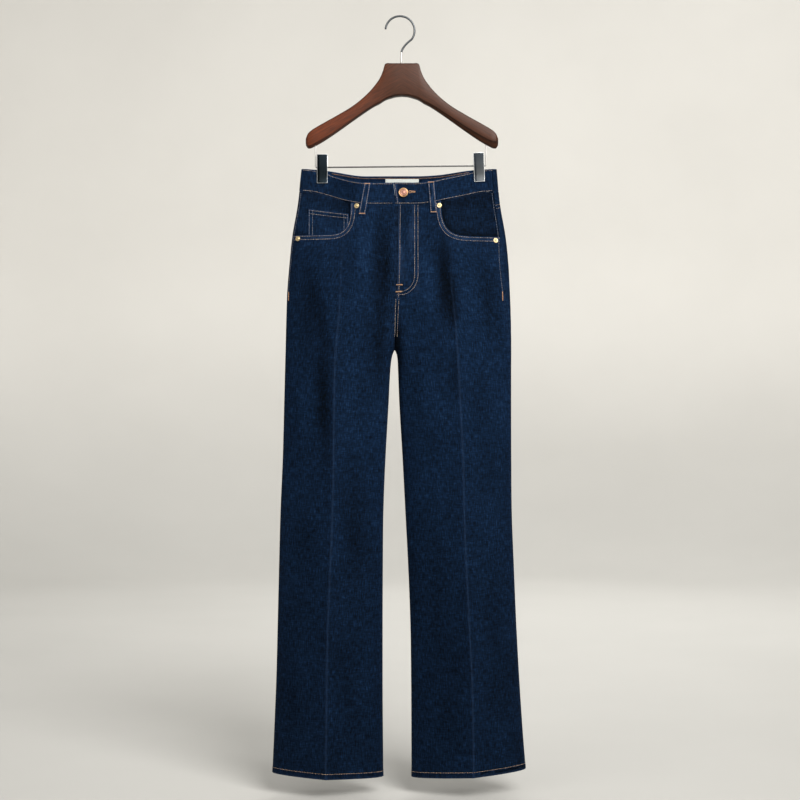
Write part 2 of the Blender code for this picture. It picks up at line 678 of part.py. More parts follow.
SHIELD_LEFT, SHIELD_RIGHT, SHIELD_END, SHIELD_GAP = 14.0, 28.0, 515.0, 0.6


def fly_shield():
    """The strip behind the lapped fly, which closes the gap at the centre front."""
    def place(u, v):
        drop = mix(345.0, SHIELD_END, v)
        narrow = 1 - 0.45 * ease((v - 0.7) / 0.3)
        centre = CENTRE["centre"](drop)
        return centre + mix(-SHIELD_LEFT, SHIELD_RIGHT * narrow, (u + 1) / 2), drop

    points, normals = lying_grid("front", 6, 7, place, lambda x, drop, v: -(WALL + SHIELD_GAP) + 0 * x)
    return add_wall("fly_shield", points, normals, WALL / 2, -WALL / 2, DENIM_INSIDE)


BACK_POCKET_X = {"left": -104.0, "right": 93.0}
POCKET_TOP_WIDTH, POCKET_BOTTOM_WIDTH, POCKET_HEIGHT, POCKET_POINT = 134.0, 112.0, 138.0, 20.0
POCKET_BELOW_YOKE = 22.0
POCKET_GAP = 0.75


def back_pocket(side):
    middle = BACK_POCKET_X[side]
    top = float(yoke_seam(middle)) + POCKET_BELOW_YOKE

    def place(u, v):
        half = mix(POCKET_TOP_WIDTH, POCKET_BOTTOM_WIDTH, v) / 2
        x = middle + u * half
        slope = (np.abs(x - WAIST_CENTRE) - abs(middle - WAIST_CENTRE)) * -0.14
        return x, top + slope + v * (POCKET_HEIGHT + POCKET_POINT * (1 - np.abs(u)))

    def lift(x, drop, v):
        return WALL + POCKET_GAP + 0 * x

    points, normals = lying_grid("back", 11, 9, place, lift)
    return add_wall("back_pocket_" + side, points, normals, WALL / 2, -WALL / 2, DENIM)


LOOP_WIDTH, LOOP_WALL, LOOP_BOW, LOOP_GAP = 11.5, 1.4, 1.6, 0.5
LOOP_COLUMNS = ("name", "face", "top_x", "bottom_x", "bottom_drop")
LOOPS = (
    ("front_left", "front", -60.4, -70.3, 362.5),
    ("front_right", "front", 54.1, 59.0, 359.5),
    ("back_left", "back", -97.0, -99.0, 352.0),
    ("back_right", "back", 88.0, 90.0, 352.0),
    ("back_centre", "back", -3.0, -3.0, 352.0),
)


def belt_loop(name, face, top_x, bottom_x, bottom_drop):
    def place(u, v):
        x = mix(top_x, bottom_x, v) + u * LOOP_WIDTH / 2
        top = band_top(face, mix(top_x, bottom_x, v * 0)) + 0.4
        return x, mix(top, bottom_drop, v)

    def lift(x, drop, v):
        bow = LOOP_BOW * ease(v / 0.2) * ease((1 - v) / 0.2)
        return BAND_WALL / 2 + LOOP_GAP + LOOP_WALL / 2 + bow

    points, normals = lying_grid(face, 3, 9, place, lift)
    return add_wall("belt_loop_" + name, points, normals, LOOP_WALL / 2, -LOOP_WALL / 2, DENIM)


LABEL_LEFT, LABEL_RIGHT, LABEL_TOP, LABEL_BOTTOM, LABEL_WALL = -28.5, 32.5, 292.0, 322.0, 0.6


def waist_label():
    def place(u, v):
        return mix(LABEL_LEFT, LABEL_RIGHT, (u + 1) / 2), mix(LABEL_TOP, LABEL_BOTTOM, v)

    def lift(x, drop, v):
        return -(BAND_WALL / 2 + PATCH_GAP + LABEL_WALL / 2) + 0 * x

    points, normals = lying_grid("back", 8, 3, place, lift)
    return add_wall("waist_label", points, normals, LABEL_WALL / 2, -LABEL_WALL / 2, COTTON_TAPE)


# ---- button and rivets ---------------------------------------------------------------------------------
def turned(name, seat, direction, profile, sides, finish):
    """A round piece: a profile of radius and height turned about its direction, standing on its seat."""
    bm = bmesh.new()
    rings = []
    for radius, height in profile[1:-1]:
        ring = []
        for i in range(sides):
            angle = 2 * math.pi * i / sides
            ring.append(bm.verts.new((radius * math.cos(angle), radius * math.sin(angle), height)))
        rings.append(ring)
    for lower, upper in zip(rings, rings[1:]):
        for i in range(sides):
            after = (i + 1) % sides
            bm.faces.new((lower[i], lower[after], upper[after], upper[i]))
    bm.faces.new(rings[0][::-1])
    bm.faces.new(rings[-1])
    made = add_object(name, bm, finish)
    turn = Vector((0, 0, 1)).rotation_difference(Vector(direction))
    made.rotation_mode = "QUATERNION"
    made.rotation_quaternion = turn
    made.location = Vector(seat) * MM
    for vertex in made.data.vertices:
        vertex.co *= MM
    return made


BUTTON_X, BUTTON_DROP, BUTTON_RADIUS = 4.3, 322.3, 8.5
RIVET_RADIUS = 4.5
RIVET_COLUMNS = ("name", "x", "drop")
RIVETS = (
    ("left_waist", -79.7, 346.0),
    ("left_side", -186.5, 404.0),
    ("right_waist", 69.1, 345.5),
    ("right_side", 171.0, 407.5),
)


def fly_button():
    points, normals = form_at("front", BUTTON_X, BUTTON_DROP)
    rise = BAND_WALL / 2 + float(lap_rise(BUTTON_X, BUTTON_DROP)) + SEAM
    radius = BUTTON_RADIUS
    profile = ((0, 0), (3.0, 0), (3.0, 1.0), (radius - 0.8, 1.2), (radius, 1.8), (radius - 0.2, 2.6),
               (radius - 1.1, 3.1), (radius - 2.2, 2.7), (3.0, 2.5), (0, 2.5))
    return turned("fly_button", points + normals * rise, normals, profile, 24, COPPER)


def rivet(name, x, drop):
    points, normals = form_at("front", x, drop)
    profile = ((0, 0), (RIVET_RADIUS, 0), (RIVET_RADIUS, 0.5), (3.6, 1.0), (2.4, 1.1), (2.0, 1.7), (0.9, 2.1),
               (0, 2.1))
    seat = points + normals * (WALL / 2 + SEAM)
    return turned("rivet_" + name, seat, normals, profile, 16, BRASS)


# ---- hanger --------------------------------------------------------------------------------------------
HANGER_CENTRE = 1.8
HANGER_COLUMNS = ("reach", "top", "bottom", "half_thickness")
HANGER = (
    (0, 85.1, 143.8, 10.5),
    (11, 85.1, 144.8, 10.5),
    (21, 85.1, 147.6, 10.3),
    (28.5, 85.3, 150.2, 10.0),
    (31.5, 88.0, 151.8, 9.9),
    (34.5, 98.5, 153.6, 9.8),
    (39.5, 110.5, 157.0, 9.6),
    (50.5, 126.5, 162.8, 9.2),
    (66.7, 144.0, 173.3, 9.0),
    (88, 161.3, 188.3, 8.8),
    (114.5, 177.6, 207.3, 8.8),
    (144.5, 194.4, 227.3, 9.0),
    (159, 202.8, 235.2, 9.0),
    (167, 208.5, 238.6, 8.6),
    (171.5, 213.5, 238.0, 7.6),
    (174, 219.0, 234.5, 5.2),
)
HANGER_SIDES = 14
HANGER_SQUARE = 3.6


def hanger_wood():
    def station(reach, top, bottom, half, sign):
        ring = []
        for i in range(HANGER_SIDES):
            angle = 2 * math.pi * (i + 0.5) / HANGER_SIDES
            c, s = math.cos(angle), math.sin(angle)
            y = half * math.copysign(abs(c) ** (2 / HANGER_SQUARE), c)
            z = (bottom - top) / 2 * math.copysign(abs(s) ** (2 / HANGER_SQUARE), s)
            ring.append((HANGER_CENTRE + sign * reach, y, -(top + bottom) / 2 + z))
        return ring

    stations = [station(*row, -1) for row in HANGER[:0:-1]] + [station(*row, 1) for row in HANGER]
    bm = bmesh.new()
    rings = [[bm.verts.new(Vector(point) * MM) for point in ring] for ring in stations]
    for here, after in zip(rings, rings[1:]):
        for i in range(HANGER_SIDES):
            k = (i + 1) % HANGER_SIDES
            bm.faces.new((here[i], here[k], after[k], after[i]))
    bm.faces.new(rings[0][::-1])
    bm.faces.new(rings[-1])
    bmesh.ops.triangulate(bm, faces=bm.faces)
    return add_object("hanger_wood", bm, WALNUT, 50)


def wire(name, route, radius, finish):
    curve = bpy.data.curves.new(name, "CURVE")
    curve.dimensions = "3D"
    curve.bevel_depth = radius * MM
    curve.bevel_resolution = 2
    curve.use_fill_caps = True
    spline = curve.splines.new("POLY")
    spline.points.add(len(route) - 1)
    for point, place in zip(spline.points, route):
        point.co = (*(Vector(place) * MM), 1)
    made = bpy.data.objects.new(name, curve)
    bpy.context.scene.collection.objects.link(made)
    curve.materials.append(finish)
    return made


HOOK_RADIUS, HOOK_WIRE = 26.4, 1.9
HOOK_CENTRE_X = -1.8
STEM_X = 0.4
HOOK_TIP_DEG, HOOK_LOW_DEG = 172, -38


def hanger_hook():
    centre_z = HOOK_WIRE - HOOK_RADIUS
    route = []
    for i in range(19):
        angle = math.radians(mix(HOOK_TIP_DEG, HOOK_LOW_DEG, i / 18))
        route.append((HOOK_CENTRE_X + HOOK_RADIUS * math.cos(angle), 0,
                      centre_z + HOOK_RADIUS * math.sin(angle)))
    sweep_start = Vector(route[-1])
    sweep_end = Vector((STEM_X, 0, -66))
    for i in range(1, 6):
        t = i / 5
        control = Vector((STEM_X + 1.0, 0, -54))
        route.append(tuple(sweep_start * (1 - t) ** 2 + control * 2 * t * (1 - t) + sweep_end * t * t))
    route += [(STEM_X, 0, -75), (STEM_X, 0, -(HANGER[0][1] - SEAM))]
    return wire("hanger_hook", route, HOOK_WIRE, CHROME)


BAR_WIRE, BAR_BEND = 1.4, 2.6
BAR_LEFT, BAR_RIGHT = (-155.3, 273.3), (154.5, 270.2)


def wood_underside(x):
    reach = abs(x - HANGER_CENTRE)
    return float(np.interp(reach, [row[0] for row in HANGER], [row[2] for row in HANGER]))


def hanger_bar():
    route = []
    for (x, drop), inward in ((BAR_LEFT, 1), (BAR_RIGHT, -1)):
        leg = [(x, 0, -(wood_underside(x) + 3 * SEAM)), (x, 0, -(drop - 20))]
        bend = []
        for i in range(5):
            angle = math.pi / 2 * i / 4
            bend.append((x + inward * BAR_BEND * (1 - math.cos(angle)), 0,
                         -(drop - BAR_BEND + BAR_BEND * math.sin(angle))))
        route += (leg + bend) if inward > 0 else (leg + bend)[::-1]
    return wire("hanger_bar", route, BAR_WIRE, CHROME)


CLIP_HALF_WIDTH = 9.6
CLIP_HOLE = 1.9
CLIP_TILT_DEG = {"left": 0.0, "right": -2.4}
# Half of the clip's side profile, out from the bar: y outward, height above the bar.
CLIP_PROFILE = (
    (8.4, 23.0), (6.9, 2.0), (4.0, -19.0), (4.0, -29.0), (2.6, -29.0), (2.6, -3.2),
)
CLIP_NOTCH = ((5.6, 3.4), (7.1, 23.0))


def clip(side):
    x = CLIP_LEFT if side == "left" else CLIP_RIGHT
    share = (x - BAR_LEFT[0]) / (BAR_RIGHT[0] - BAR_LEFT[0])
    bar_drop = mix(BAR_LEFT[1], BAR_RIGHT[1], share)
    half = list(CLIP_PROFILE)
    notch = list(CLIP_NOTCH)
    outline = ([(y, z) for y, z in half] + [(-y, z) for y, z in half[::-1]]
               + [(-y, z) for y, z in notch[::-1]] + [(y, z) for y, z in notch])
    bm = bmesh.new()
    face = bm.faces.new([bm.verts.new(Vector((-CLIP_HALF_WIDTH, y, z)) * MM) for y, z in outline])
    made = bmesh.ops.extrude_face_region(bm, geom=[face])
    moved = [item for item in made["geom"] if isinstance(item, bmesh.types.BMVert)]
    bmesh.ops.translate(bm, vec=Vector((2 * CLIP_HALF_WIDTH * MM, 0, 0)), verts=moved)
    piece = add_object("clip_" + side, bm, STEEL, 30)
    cutter_mesh = bmesh.new()
    bmesh.ops.create_cone(cutter_mesh, cap_ends=True, segments=16, radius1=CLIP_HOLE * MM,
                          radius2=CLIP_HOLE * MM, depth=4 * CLIP_HALF_WIDTH * MM)
    cutter = add_object("clip_hole_" + side, cutter_mesh, STEEL)
    cutter.rotation_euler = (0, math.pi / 2, 0)
    cutter.hide_render = True
    cutter.display_type = "WIRE"
    cutter.parent = piece
    piece.location = Vector((x, 0, -bar_drop)) * MM
    piece.rotation_euler = (0, math.radians(CLIP_TILT_DEG[side]), 0)
    cut = piece.modifiers.new("bar hole", "BOOLEAN")
    cut.object = cutter
    cut.operation = "DIFFERENCE"
    return piece


def main():
    for old in list(bpy.data.objects):
        bpy.data.objects.remove(old, do_unlink=True)
    for side in ("left", "right"):
        front_panel(side)
        back_panel(side)
        yoke(side)
        band_front(side)
        pocket_facing(side)
        back_pocket(side)
        clip(side)
    band_back()
    coin_pocket()
    fly_shield()
    waist_label()
    fly_button()
    for row in LOOPS:
        belt_loop(*row)
    for row in RIVETS:
        rivet(*row)
    hanger_wood()
    hanger_hook()
    hanger_bar()


main()
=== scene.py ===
"""The looks of the high-rise bootcut jeans and their clip hanger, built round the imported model.

Sizes are in millimetres and are scaled to metres where meshes are made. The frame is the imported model's: the
origin is the top of the space inside the hook, X runs to the viewer's right, Z up, and the front faces -Y. A
drop is a distance below the origin. Left and right are the viewer's.

Every piece of cloth is cut again from the form that its solid was cut from, finely enough for folds, rolled
edges and the pull of the stitching, and replaces its solid.
"""

import json
import math
from types import SimpleNamespace

import bpy
import numpy as np
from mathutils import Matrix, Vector

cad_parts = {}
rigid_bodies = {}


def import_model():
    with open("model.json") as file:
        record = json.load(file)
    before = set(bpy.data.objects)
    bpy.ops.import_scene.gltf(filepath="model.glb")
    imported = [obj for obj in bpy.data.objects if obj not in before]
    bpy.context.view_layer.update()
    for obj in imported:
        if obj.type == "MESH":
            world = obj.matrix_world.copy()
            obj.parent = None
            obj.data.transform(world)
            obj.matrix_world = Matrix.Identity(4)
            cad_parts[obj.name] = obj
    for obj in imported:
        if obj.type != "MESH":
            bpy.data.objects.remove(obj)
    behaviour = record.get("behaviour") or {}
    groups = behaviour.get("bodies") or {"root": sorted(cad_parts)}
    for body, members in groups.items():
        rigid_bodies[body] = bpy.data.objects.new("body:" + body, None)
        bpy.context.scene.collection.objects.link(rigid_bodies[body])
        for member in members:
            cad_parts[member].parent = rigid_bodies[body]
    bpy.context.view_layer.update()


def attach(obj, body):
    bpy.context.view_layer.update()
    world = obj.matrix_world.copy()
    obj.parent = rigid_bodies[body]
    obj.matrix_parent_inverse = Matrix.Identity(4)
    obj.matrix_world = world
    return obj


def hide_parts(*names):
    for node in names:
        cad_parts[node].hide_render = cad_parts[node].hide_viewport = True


for leftover in list(bpy.data.objects):
    bpy.data.objects.remove(leftover)
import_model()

MM = 0.001


def table(columns, *rows):
    """A table's rows, each value under its column's name."""
    return [SimpleNamespace(**dict(zip(columns.split(), row))) for row in rows]


# ---- driving sizes, as in the solids ----
WALL = 1.2             # denim panel
BAND_WALL = 2.0        # waistband, two layers
SEAM = 0.3             # between pieces
WAIST_DROP = 276.3
BAND_HEIGHT = 40.5
FRONT_DIP = 27.5       # the waistband sags between the clips
BACK_DIP = 10.5
FRONT_BAND_LESS = -1.5  # the front's band is a little lower in the middle
CROTCH_DROP = 605.0
HEM_BAND, HEM_LEVEL = 13.0, 1370
CLIP_LEFT, CLIP_RIGHT = -143.0, 141.5
CLIP_FLAT = 12.0
WAIST_CENTRE, WAIST_HALF, BAND_LEVEL = -3.0, 177.0, 325.0
SAG_START, SAG_LEFT, SAG_RIGHT = 0.98, 0.65, 0.82    # where the sag starts, and the share of each half it takes

# The form's outline and depth, a row for each level.
SECTIONS = table(
    "drop left_fold right_fold left_crease right_crease front back pressed outseam inner_round",
    (265, -178.5, 172.6, -103, 86, 22, 17, 0.0, 9, 2.0),
    (275, -180.0, 173.6, -103, 86, 23, 18, 0.0, 9, 2.0),
    (340, -187.0, 179.5, -103, 86, 27, 24, 0.0, 9, 2.0),
    (400, -197.3, 189.8, -104, 88, 31, 31, 0.1, 11, 2.0),
    (450, -202.5, 194.9, -107, 90, 34, 36, 0.4, 14, 2.0),
    (500, -206.5, 197.5, -109, 92, 36, 38, 0.7, 11, 2.1),
    (550, -208.2, 199.3, -112, 97, 38, 38, 0.9, 6, 2.7),
    (605, -209.5, 200.0, -117, 101, 40, 37, 1.0, 1, 4.2),
    (640, -210.4, 200.0, -119, 103, 41, 36, 1.0, 0, 3.6),
    (700, -211.9, 200.0, -120, 106, 42, 35, 1.0, 0, 2.8),
    (800, -214.5, 200.2, -121, 111, 43, 34, 1.0, 0, 2.2),
    (900, -218.7, 201.1, -123, 113, 44, 34, 1.0, 0, 1.9),
    (1000, -221.3, 204.9, -127, 117, 45, 34, 1.0, 0, 1.8),
    (1100, -223.7, 209.1, -131, 122, 46, 35, 1.0, 0, 1.75),
    (1200, -226.2, 214.5, -133, 127, 47, 36, 1.0, 0, 1.75),
    (1300, -230.2, 221.1, -134, 129, 48, 37, 1.0, 0, 1.75),
    (1390, -234.2, 228.4, -135, 130, 49, 38, 1.0, 0, 1.75),
)

# The centre line of the rise: its place across and the depth of the front and back there.
RISE = table(
    "drop centre front_y back_y",
    (265, -3.0, -21, 16),
    (340, -4.5, -25, 23),
    (400, -5.5, -29, 31),
    (450, -6.0, -31, 35),
    (500, -7.5, -29, 36),
    (550, -9.8, -21, 32),
    (575, -10.6, -13, 25),
    (592, -11.2, -3, 17),
    (605, -11.5, 7.1, 8.9),
)

# The inner edges of the legs below the rise.
LEGS = table(
    "drop left_inner right_inner inner_y",
    (605, -12.4, -10.6, 8.0),
    (612, -15.5, -7.5, 7.0),
    (625, -18.3, -5.6, 5.5),
    (640, -19.8, -4.9, 4.0),
    (700, -22.9, -2.6, 0.0),
    (800, -28.5, 3.2, 0.0),
    (900, -32.4, 8.4, 0.0),
    (1000, -33.4, 13.6, 0.0),
    (1100, -33.8, 17.4, 0.0),
    (1200, -33.8, 18.8, 0.0),
    (1390, -32.4, 19.6, 0.0),
)

# Soft troughs that run down the cloth. Depth is how far the cloth dips in, or stands out when negative.
FOLD_COLUMNS = "face top_x bottom_x top bottom half_width depth"
FOLDS = table(
    FOLD_COLUMNS,
    ("front", -38, -44, 335, 560, 11, 3.2),
    ("front", -62, -78, 350, 540, 13, -1.8),
    ("front", 68, 88, 395, 590, 14, 4.0),
    ("front", 40, 52, 380, 570, 16, -1.8),
    ("front", -158, -176, 430, 640, 17, 3.0),
    ("front", 150, 168, 440, 620, 16, 2.4),
    ("back", -52, -70, 552, 740, 16, 3.4),
    ("back", 44, 66, 556, 730, 16, 3.2),
    ("back", -166, -176, 552, 720, 17, 3.0),
    ("back", 160, 168, 560, 710, 16, 2.6),
)
# Smaller folds, which only the cloth has.
SOFT_FOLDS = table(
    FOLD_COLUMNS,
    ("front", -22, -30, 372, 535, 6, 1.6),
    ("front", 82, 98, 400, 620, 7, 1.8),
    ("front", -176, -122, 440, 625, 12, 2.4),
    ("front", -152, -132, 600, 800, 13, 1.9),
    ("front", -61, -57, 530, 600, 7, 1.3),
    ("front", 116, 124, 430, 640, 20, -1.3),
    ("front", 30, 22, 560, 760, 14, 1.4),
    ("front", -46, -40, 600, 820, 15, -1.2),
    ("front", 152, 140, 660, 900, 17, 1.3),
    ("front", -170, -182, 860, 1180, 20, 1.3),
    ("front", -82, -76, 820, 1120, 18, 1.1),
    ("front", 62, 70, 850, 1160, 18, 1.2),
    ("front", 160, 176, 980, 1300, 18, 1.2),
    ("front", -96, -84, 1120, 1372, 16, 1.2),
    ("front", 86, 92, 1140, 1372, 16, 1.1),
    ("back", -28, -40, 560, 700, 9, 2.0),
    ("back", 22, 30, 560, 700, 9, 2.0),
    ("back", -128, -150, 545, 690, 13, 1.6),
    ("back", 118, 140, 548, 690, 13, 1.6),
    ("back", -58, -50, 860, 1120, 20, 1.6),
    ("back", 50, 62, 840, 1100, 20, 1.6),
    ("back", -176, -186, 900, 1220, 18, 1.4),
    ("back", 162, 178, 920, 1240, 18, 1.4),
    ("back", -90, -100, 1150, 1372, 18, 1.3),
    ("back", 84, 96, 1150, 1372, 18, 1.3),
)

SCOOPS = table(
    "side end_x side_drop square_x square_drop",
    ("left", -90.5, 398.0, 9.0, 2.5),
    ("right", 72.0, 401.0, 7.0, 2.5),
)

# Painted shade where the cloth is darker in the folds, or painted light where it is lighter on the ridges between
# them: this has no shape.
PAINTED_FOLD_SHADES = table(
    FOLD_COLUMNS,
    ("front", -26, -32, 365, 560, 9, 0.45),
    ("front", -36, -42, 470, 720, 12, 0.85),
    ("front", 74, 82, 365, 560, 9, 0.65),
    ("front", 92, 96, 470, 590, 7, 0.5),
    ("front", 96, 99, 585, 700, 8, 0.5),
    ("front", -142, -136, 490, 860, 12, 0.75),
    ("front", -92, -84, 760, 1000, 18, 0.3),
)

HEMS = table(
    "side inner_drop outer_drop",
    ("left", 1379.5, 1372.5),
    ("right", 1380.5, 1365.5),
)


# ---- reading the tables ----
def smooth_curve(places, values):
    """A smooth curve through the values at the given places."""
    places, values = np.array(places, float), np.array(values, float)
    slopes = np.diff(values) / np.diff(places)
    tangents = np.empty(len(values))
    tangents[1:-1] = (slopes[1:] + slopes[:-1]) / 2
    tangents[0], tangents[-1] = slopes[0], slopes[-1]
    # A turning point stays where the table has it.
    tangents[1:-1][slopes[1:] * slopes[:-1] <= 0] = 0

    def read(place):
        place = np.clip(np.asarray(place, float), places[0], places[-1])
        i = np.clip(np.searchsorted(places, place) - 1, 0, len(places) - 2)
        span = places[i + 1] - places[i]
        t = (place - places[i]) / span
        return (values[i] * (1 + 2 * t) * (1 - t) ** 2 + values[i + 1] * t * t * (3 - 2 * t)
                + tangents[i] * span * t * (1 - t) ** 2 - tangents[i + 1] * span * t * t * (1 - t))

    return read


def curves(rows):
    """A smooth curve for each column of a table, read by the table's first column."""
    first, *others = vars(rows[0])
    places = [getattr(row, first) for row in rows]
    return {name: smooth_curve(places, [getattr(row, name) for row in rows]) for name in others}


SECTION, CENTRE, INNER = curves(SECTIONS), curves(RISE), curves(LEGS)
SCOOP = {row.side: row for row in SCOOPS}
HEM = {row.side: row for row in HEMS}
SIGN = {"left": -1, "right": 1}


def ease(t):
    t = np.clip(t, 0, 1)
    return t * t * (3 - 2 * t)


def mix(a, b, t):
    return a + (b - a) * t


def xyz(x, y, z):
    """Points from their coordinates, which may be numbers or arrays."""
    return np.stack(np.broadcast_arrays(x, y, z), axis=-1)


def circle(sides):
    return np.arange(sides) * 2 * math.pi / sides


def near(distance, reach):
    """1 on a line and less away from it, to about nothing at twice the reach."""
    return np.exp(-(distance / reach) ** 2)


def between(drop, top, top_reach, end, end_reach):
    """1 between two levels: it sets in below the top over one reach and fades below the end over the other."""
    return ease((drop - top) / top_reach) * (1 - ease((drop - end) / end_reach))


NOISE_SIZE = 97         # lumps each way before the noise repeats


def soft_noise(seed, cell_x, cell_drop):
    """A smooth uneven surface from -1 to 1, with lumps of about the cell's size."""
    lumps = np.random.default_rng(seed).uniform(-1, 1, (NOISE_SIZE, NOISE_SIZE))

    def read(x, drop):
        u, v = x / cell_x + 40.5, drop / cell_drop + 3.5
        i, j = np.floor(u).astype(int), np.floor(v).astype(int)
        s, t = ease(u - i), ease(v - j)
        corner = [[lumps[(i + a) % NOISE_SIZE, (j + b) % NOISE_SIZE] for b in (0, 1)] for a in (0, 1)]
        return mix(mix(corner[0][0], corner[1][0], s), mix(corner[0][1], corner[1][1], s), t)

    return read


# ---- the form ----
VALLEY_TOP, VALLEY_BOTTOM = 440, 600    # where the centre turns from flat to the fold between the legs
PINCH_FULL, PINCH_END = 305, 440        # the clips hold the front and back together down to here
PINCH_OUTWARD, PINCH_INWARD = 85, 62    # how far the hold reaches to either side of a clip
PRESSED = {"front": 1.0, "back": 0.75}  # how much of a level's pressing each face takes
ROUND_FULL, ROUND_PRESSED_X, ROUND_PRESSED_Y = 2.0, 1.04, 1.75     # exponents of the outline


def pinch(x, drop):
    """1 where a clip holds the two layers together, 0 where they hang free."""
    grip = np.zeros_like(x)
    for clip, outward in ((CLIP_LEFT, -1), (CLIP_RIGHT, 1)):
        away = (x - clip) * outward
        reach = np.where(away > 0, PINCH_OUTWARD, PINCH_INWARD)
        grip = np.maximum(grip, 1 - ease((np.abs(away) - CLIP_FLAT) / reach))
    return grip * (1 - ease((drop - PINCH_FULL) / (PINCH_END - PINCH_FULL)))


FOLD_TAPER = 1.2        # how soon a fold fades towards its ends


def fold_depth(rows, face, x, drop):
    """How far the folds of a table dip in at a place."""
    total = np.zeros_like(x)
    for fold in rows:
        if fold.face == face:
            t = np.clip((drop - fold.top) / (fold.bottom - fold.top), 0, 1)
            across = x - mix(fold.top_x, fold.bottom_x, t)
            total += fold.depth * np.sin(np.pi * t) ** FOLD_TAPER * near(across, fold.half_width)
    return total


# ---- what the cloth adds to the form ----
UNEVEN = {"front": soft_noise(11, 34, 120), "back": soft_noise(12, 36, 120)}
RUMPLE = {"front": soft_noise(21, 11, 30), "back": soft_noise(22, 11, 30)}
WANDER = soft_noise(31, 23, 23)
UNEVEN_HEIGHT, RUMPLE_HEIGHT = 0.75, 0.16
CREASE_HEIGHT, CREASE_HALF = 0.8, 2.6       # the pressed line stands up from the front of the leg
PULL_PITCH, PULL_HEIGHT = 9.0, 0.15         # stitching gathers the cloth a little
HEM_PULL, WAIST_PULL, FLY_PULL = (9.0, 0.4), (8.0, 0.22), (6.0, 0.3)     # reach and height of its ripples
RELIEF_TOP, RELIEF_REACH = 300, 90          # the waistband is smooth, and the cloth uneven below it


def pull(distance, along, reach=7.0, height=PULL_HEIGHT):
    """Ripples that run away from a stitched seam."""
    phase = along / PULL_PITCH + 0.6 * WANDER(along, distance * 0)
    return height * near(distance, reach) * np.sin(2 * np.pi * phase)


def relief(side, face, x, drop, inner, fold, crease, pressed):
    """How far the cloth stands out from the plain form, along its depth."""
    out = UNEVEN_HEIGHT * UNEVEN[face](x, drop) + RUMPLE_HEIGHT * RUMPLE[face](x, drop)
    out = out * ease((drop - RELIEF_TOP) / RELIEF_REACH)
    out = out - fold_depth(SOFT_FOLDS, face, x, drop)
    out = out + CREASE_HEIGHT * pressed * np.exp(-np.abs(x - crease) / CREASE_HALF)
    hem_line = hem_at(side, x, inner, fold) - HEM_BAND
    out = out + pull(x - fold, drop) + pull(x - inner, drop)
    out = out + pull(drop - hem_line, x + 0.7 * drop, *HEM_PULL)
    out = out + pull(drop - waist_seam(face, x), x, *WAIST_PULL)
    if face == "back":
        return out + pull(drop - yoke_seam(x), x)
    on_fly = (1 - ease((drop - J_STRAIGHT) / 60)) * (x > CENTRE["centre"](drop))
    return out + pull(x - J_X, drop, *FLY_PULL) * on_fly


def half_ring(side, face, drop):
    """What shapes one half ring at a level."""
    above = drop <= CROTCH_DROP
    return SimpleNamespace(
        above=above, fold=SECTION[side + "_fold"](drop), crease=SECTION[side + "_crease"](drop),
        inner=np.where(above, CENTRE["centre"](drop) + SIGN[side] * SEAM / 2, INNER[side + "_inner"](drop)),
        pressed=SECTION["pressed"](drop) * PRESSED[face],
        valley=ease((drop - VALLEY_TOP) / (VALLEY_BOTTOM - VALLEY_TOP)))


def ring_x(ring, step):
    """The x of a step round a half ring: step 0 is the inner edge, 1 the crease, 2 the outer fold."""
    quarter = np.where(step <= 1, step, 2 - step)
    roundness = mix(ROUND_FULL, ROUND_PRESSED_X, ring.pressed)
    across = 1 - np.cos(np.clip(quarter, 0, 1) * math.pi / 2) ** (2 / roundness)
    return np.where(step <= 1, mix(ring.inner, ring.crease, mix(quarter, across, ring.valley)),
                    mix(ring.fold, ring.crease, across))


def half_point(side, face, step, drop):
    """A point of one half ring, with the cloth's folds and relief."""
    ring = half_ring(side, face, drop)
    outward = -1 if face == "front" else 1
    depth = outward * SECTION[face](drop)
    inner_y = np.where(ring.above, CENTRE[face + "_y"](drop), INNER["inner_y"](drop))
    quarter = np.where(step <= 1, step, 2 - step)
    rise = np.sin(np.clip(quarter, 0, 1) * math.pi / 2)
    height = rise ** (2 / mix(ROUND_FULL, ROUND_PRESSED_Y, ring.pressed))
    steep = rise ** (2 / SECTION["inner_round"](drop))
    is_inner = step <= 1
    x = ring_x(ring, step)
    y = np.where(is_inner, mix(inner_y, depth, mix(ease(quarter), steep, ring.valley)), depth * height)
    grip = pinch(x, drop)
    lie_flat = np.where(is_inner, 1.0, 1 - (1 - height) ** 3)
    apart = BAND_WALL / 2 + SEAM / 2
    y = y * (1 - grip) + outward * apart * lie_flat * grip
    free = np.where(is_inner, mix(1, height, ring.valley), height) * (1 - grip)
    y = y - outward * fold_depth(FOLDS, face, x, drop) * free
    y = y + outward * relief(side, face, x, drop, ring.inner, ring.fold, ring.crease, ring.pressed) * free
    return xyz(x, y, -drop)


def floats(*values):
    """The values as arrays of one shape."""
    return np.broadcast_arrays(*[np.asarray(value, float) for value in values])


def form_point(side, turn, drop):
    """A point of the form. A turn of 0 to 2 runs round the front from the inner edge, and 2 to 4 the back."""
    turn, drop = floats(turn, drop)
    front = half_point(side, "front", np.clip(turn, 0, 2), drop)
    back = half_point(side, "back", np.clip(4 - turn, 0, 2), drop)
    return np.where((turn <= 2)[..., None], front, back)


NORMAL_TURN, NORMAL_DROP = 0.04, 2      # how far apart the points lie that give the form's direction


